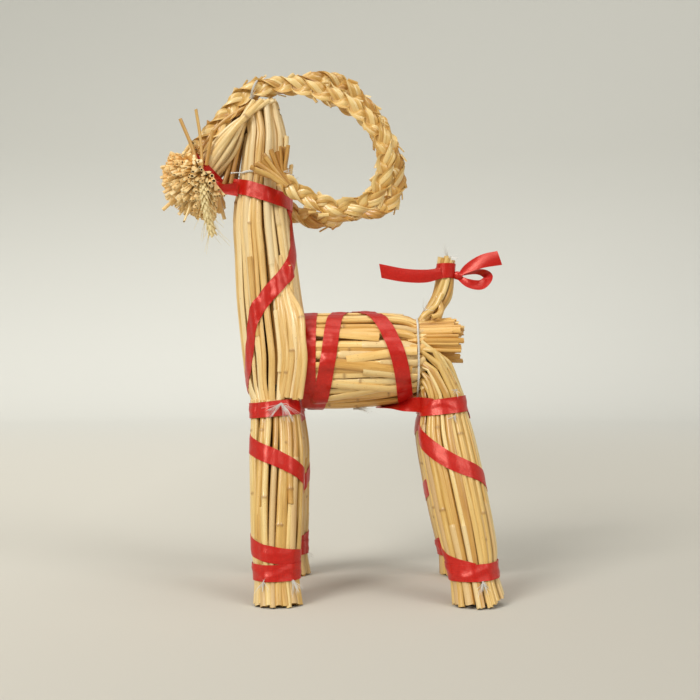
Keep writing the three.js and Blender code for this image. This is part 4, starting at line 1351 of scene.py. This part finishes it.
def ear_material():
    """Gold husks with streaks of their own."""
    n = Nodes("wheat_ear")
    along, tone = n.value("along"), n.value("tone")
    grain = n.streaks((along, 1.4), (tone, 9.0))
    n.colour(n.ramp(grain, [(0.25, (0.68, 0.50, 0.20)), (0.6, (0.88, 0.74, 0.40)),
                            (0.8, (0.93, 0.84, 0.55))]))
    n.bump(grain, 0.5, 0.0002)
    n.set(Roughness=0.55)
    return n.material


def add_grain(mesh, base, way, out, length, width):
    """One pointed husk, opening away from the ear."""
    way, out = unit(way), unit(out)
    side = unit(np.cross(way, out))
    out = np.cross(side, way)
    at, size = np.array(GRAIN_OUTLINE).T
    path, ones = base + (at * length)[:, None] * way, np.ones((len(at), 1))
    add_tube(mesh, path, ones * side, ones * out * 0.6, size * width / 2, 8, "capped",
             at * length, rng.uniform())


def build_ear():
    """The ear of wheat: a stalk with husks and awns all round it."""
    mesh = MeshBuilder()
    path = smooth_path(WHEAT_EAR, 2.0)
    across, up, ahead = frames_along(path, X)
    add_straw(mesh, WHEAT_EAR, 0.9, joint=False, ends=(False, False))
    for i in range(1, len(path)):
        for k in range(4):
            turn = k * math.pi / 2 + (i % 2) * math.pi / 4
            out = math.cos(turn) * across[i] + math.sin(turn) * up[i]
            way = ahead[i] + out * 0.42 + rng.normal(0, 0.06, 3)
            base = path[i] + out * 0.7
            add_grain(mesh, base, way, out, rng.uniform(4.8, 6.4), 2.6)
            if i > 3 and k % 2 == i % 2:
                awn = unit(ahead[i] + out * 0.5 + rng.normal(0, 0.12, 3)) * rng.uniform(12, 20)
                middle = base + awn / 2 + rng.normal(0, 0.6, 3)
                add_fibre(mesh, np.array((base, middle, base + awn)), 0.16)
    mesh.build("rye_ear", ear_material(), "plait", ["wheat_ear"])


def build_stems():
    """The bare stems at the muzzle, as one piece for each."""
    for k, points in enumerate(STEMS):
        mesh = MeshBuilder()
        add_straw(mesh, points, rng.uniform(1.0, 1.25), step=2.5, flat=1.15)
        mesh.build(f"stem_{k + 1}_straw", straw, "plait", [f"stem_{k + 1}"])


build_strings()
build_tufts()
build_ear()
build_stems()

# ---------------------------------------------------------------- floor, light and camera


def build_stage():
    """A pale round studio: a flat floor that curves up into a wall all round."""
    bend = np.linspace(0, math.pi / 2, 10)
    profile = [(r, 0.0) for r in (0.15, 0.3, 0.6, 1.0)]
    profile += [(STAGE_FLAT + STAGE_CURVE * math.sin(a), STAGE_CURVE * (1 - math.cos(a)))
                for a in bend]
    profile.append((STAGE_FLAT + STAGE_CURVE, STAGE_TOP))
    sides = 72
    points = [(0.0, 0.0, 0.0)] + [(r * math.cos(a), r * math.sin(a), z)
                                  for r, z in profile for a in circle(sides)]
    faces = [(0, 1 + k, 1 + (k + 1) % sides) for k in range(sides)]
    faces += [tuple(i + 1 for i in face[::-1]) for face in ring_faces(len(profile), sides)]
    mesh = bpy.data.meshes.new("backdrop")
    mesh.from_pydata(points, [], faces)
    mesh.shade_smooth()
    n = Nodes("backdrop_paper")
    split = n.new("ShaderNodeSeparateXYZ")
    n.link(n.new("ShaderNodeTexCoord").outputs["Object"], split.inputs[0])
    behind = n.new("ShaderNodeMapRange", interpolation_type="SMOOTHSTEP")
    behind.inputs["From Min"].default_value, behind.inputs["From Max"].default_value = TABLE_END
    n.link(split.outputs["Y"], behind.inputs["Value"])
    grain = n.noise(n.new("ShaderNodeTexCoord").outputs["Object"], 900.0)
    # Painted shade: the light falls off to the goat's tail side, and up the wall
    x, z = split.outputs["X"], split.outputs["Z"]
    low = n.math("SUBTRACT", 1.0, n.math("DIVIDE", z, STAGE_TOP), clamp=True)
    side = n.math("MULTIPLY", n.math("MAXIMUM", n.math("ADD", x, 0.4), 0.0), low)
    wall_painted_shade = n.math("ADD", n.math("MULTIPLY", side, 0.12), n.math("MULTIPLY", z, 0.07))
    table_painted_shade = n.math("MINIMUM", n.math("ADD", n.math("MULTIPLY", x, 0.4), 0.1, clamp=True), 0.2)
    wall = n.mix(wall_painted_shade, WALL_COLOUR, (0, 0, 0))
    table = n.mix(table_painted_shade, n.mix(grain, TABLE_COLOUR, TABLE_GRAIN), (0, 0, 0))
    n.link(n.mix(behind.outputs[0], table, wall), n.shader.inputs["Base Color"])
    n.set(Roughness=0.9, Specular_IOR_Level=0.1)
    mesh.materials.append(n.material)
    backdrop = bpy.data.objects.new("backdrop", mesh)
    bpy.context.collection.objects.link(backdrop)
    backdrop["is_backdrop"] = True


def add_light(name, way, strength, softness, colour):
    """A softbox far away: way points from the goat to it, and softness is its width."""
    light = bpy.data.lights.new(name, "SUN")
    light.energy, light.angle, light.color = strength, math.radians(softness), colour
    lamp = bpy.data.objects.new(name, light)
    lamp.location = way
    lamp.rotation_euler = (-Vector(way)).to_track_quat("-Z", "Y").to_euler()
    bpy.context.collection.objects.link(lamp)


def build_camera():
    data = bpy.data.cameras.new("camera")
    data.sensor_width, data.lens = SENSOR, SENSOR * FOCAL_LENGTH
    camera = bpy.data.objects.new("camera", data)
    camera.location = (np.array(CAMERA) + SHIFT) * MM
    camera.rotation_euler = (math.pi / 2 + CAMERA_UP, 0.0, CAMERA_LEFT)
    bpy.context.collection.objects.link(camera)
    bpy.context.scene.camera = camera


build_stage()
for name, light in LIGHTS.items():
    add_light(name, *light)
world = bpy.data.worlds.new("room")
world.use_nodes = True
room = world.node_tree.nodes["Background"].inputs
room["Color"].default_value = (*ROOM_COLOUR, 1)
room["Strength"].default_value = ROOM_STRENGTH
bpy.context.scene.world = world
bpy.context.scene.view_settings.view_transform = "Standard"
build_camera()

[[list(map(float, corner)) for corner in box] for box in (cad_bounds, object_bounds())]
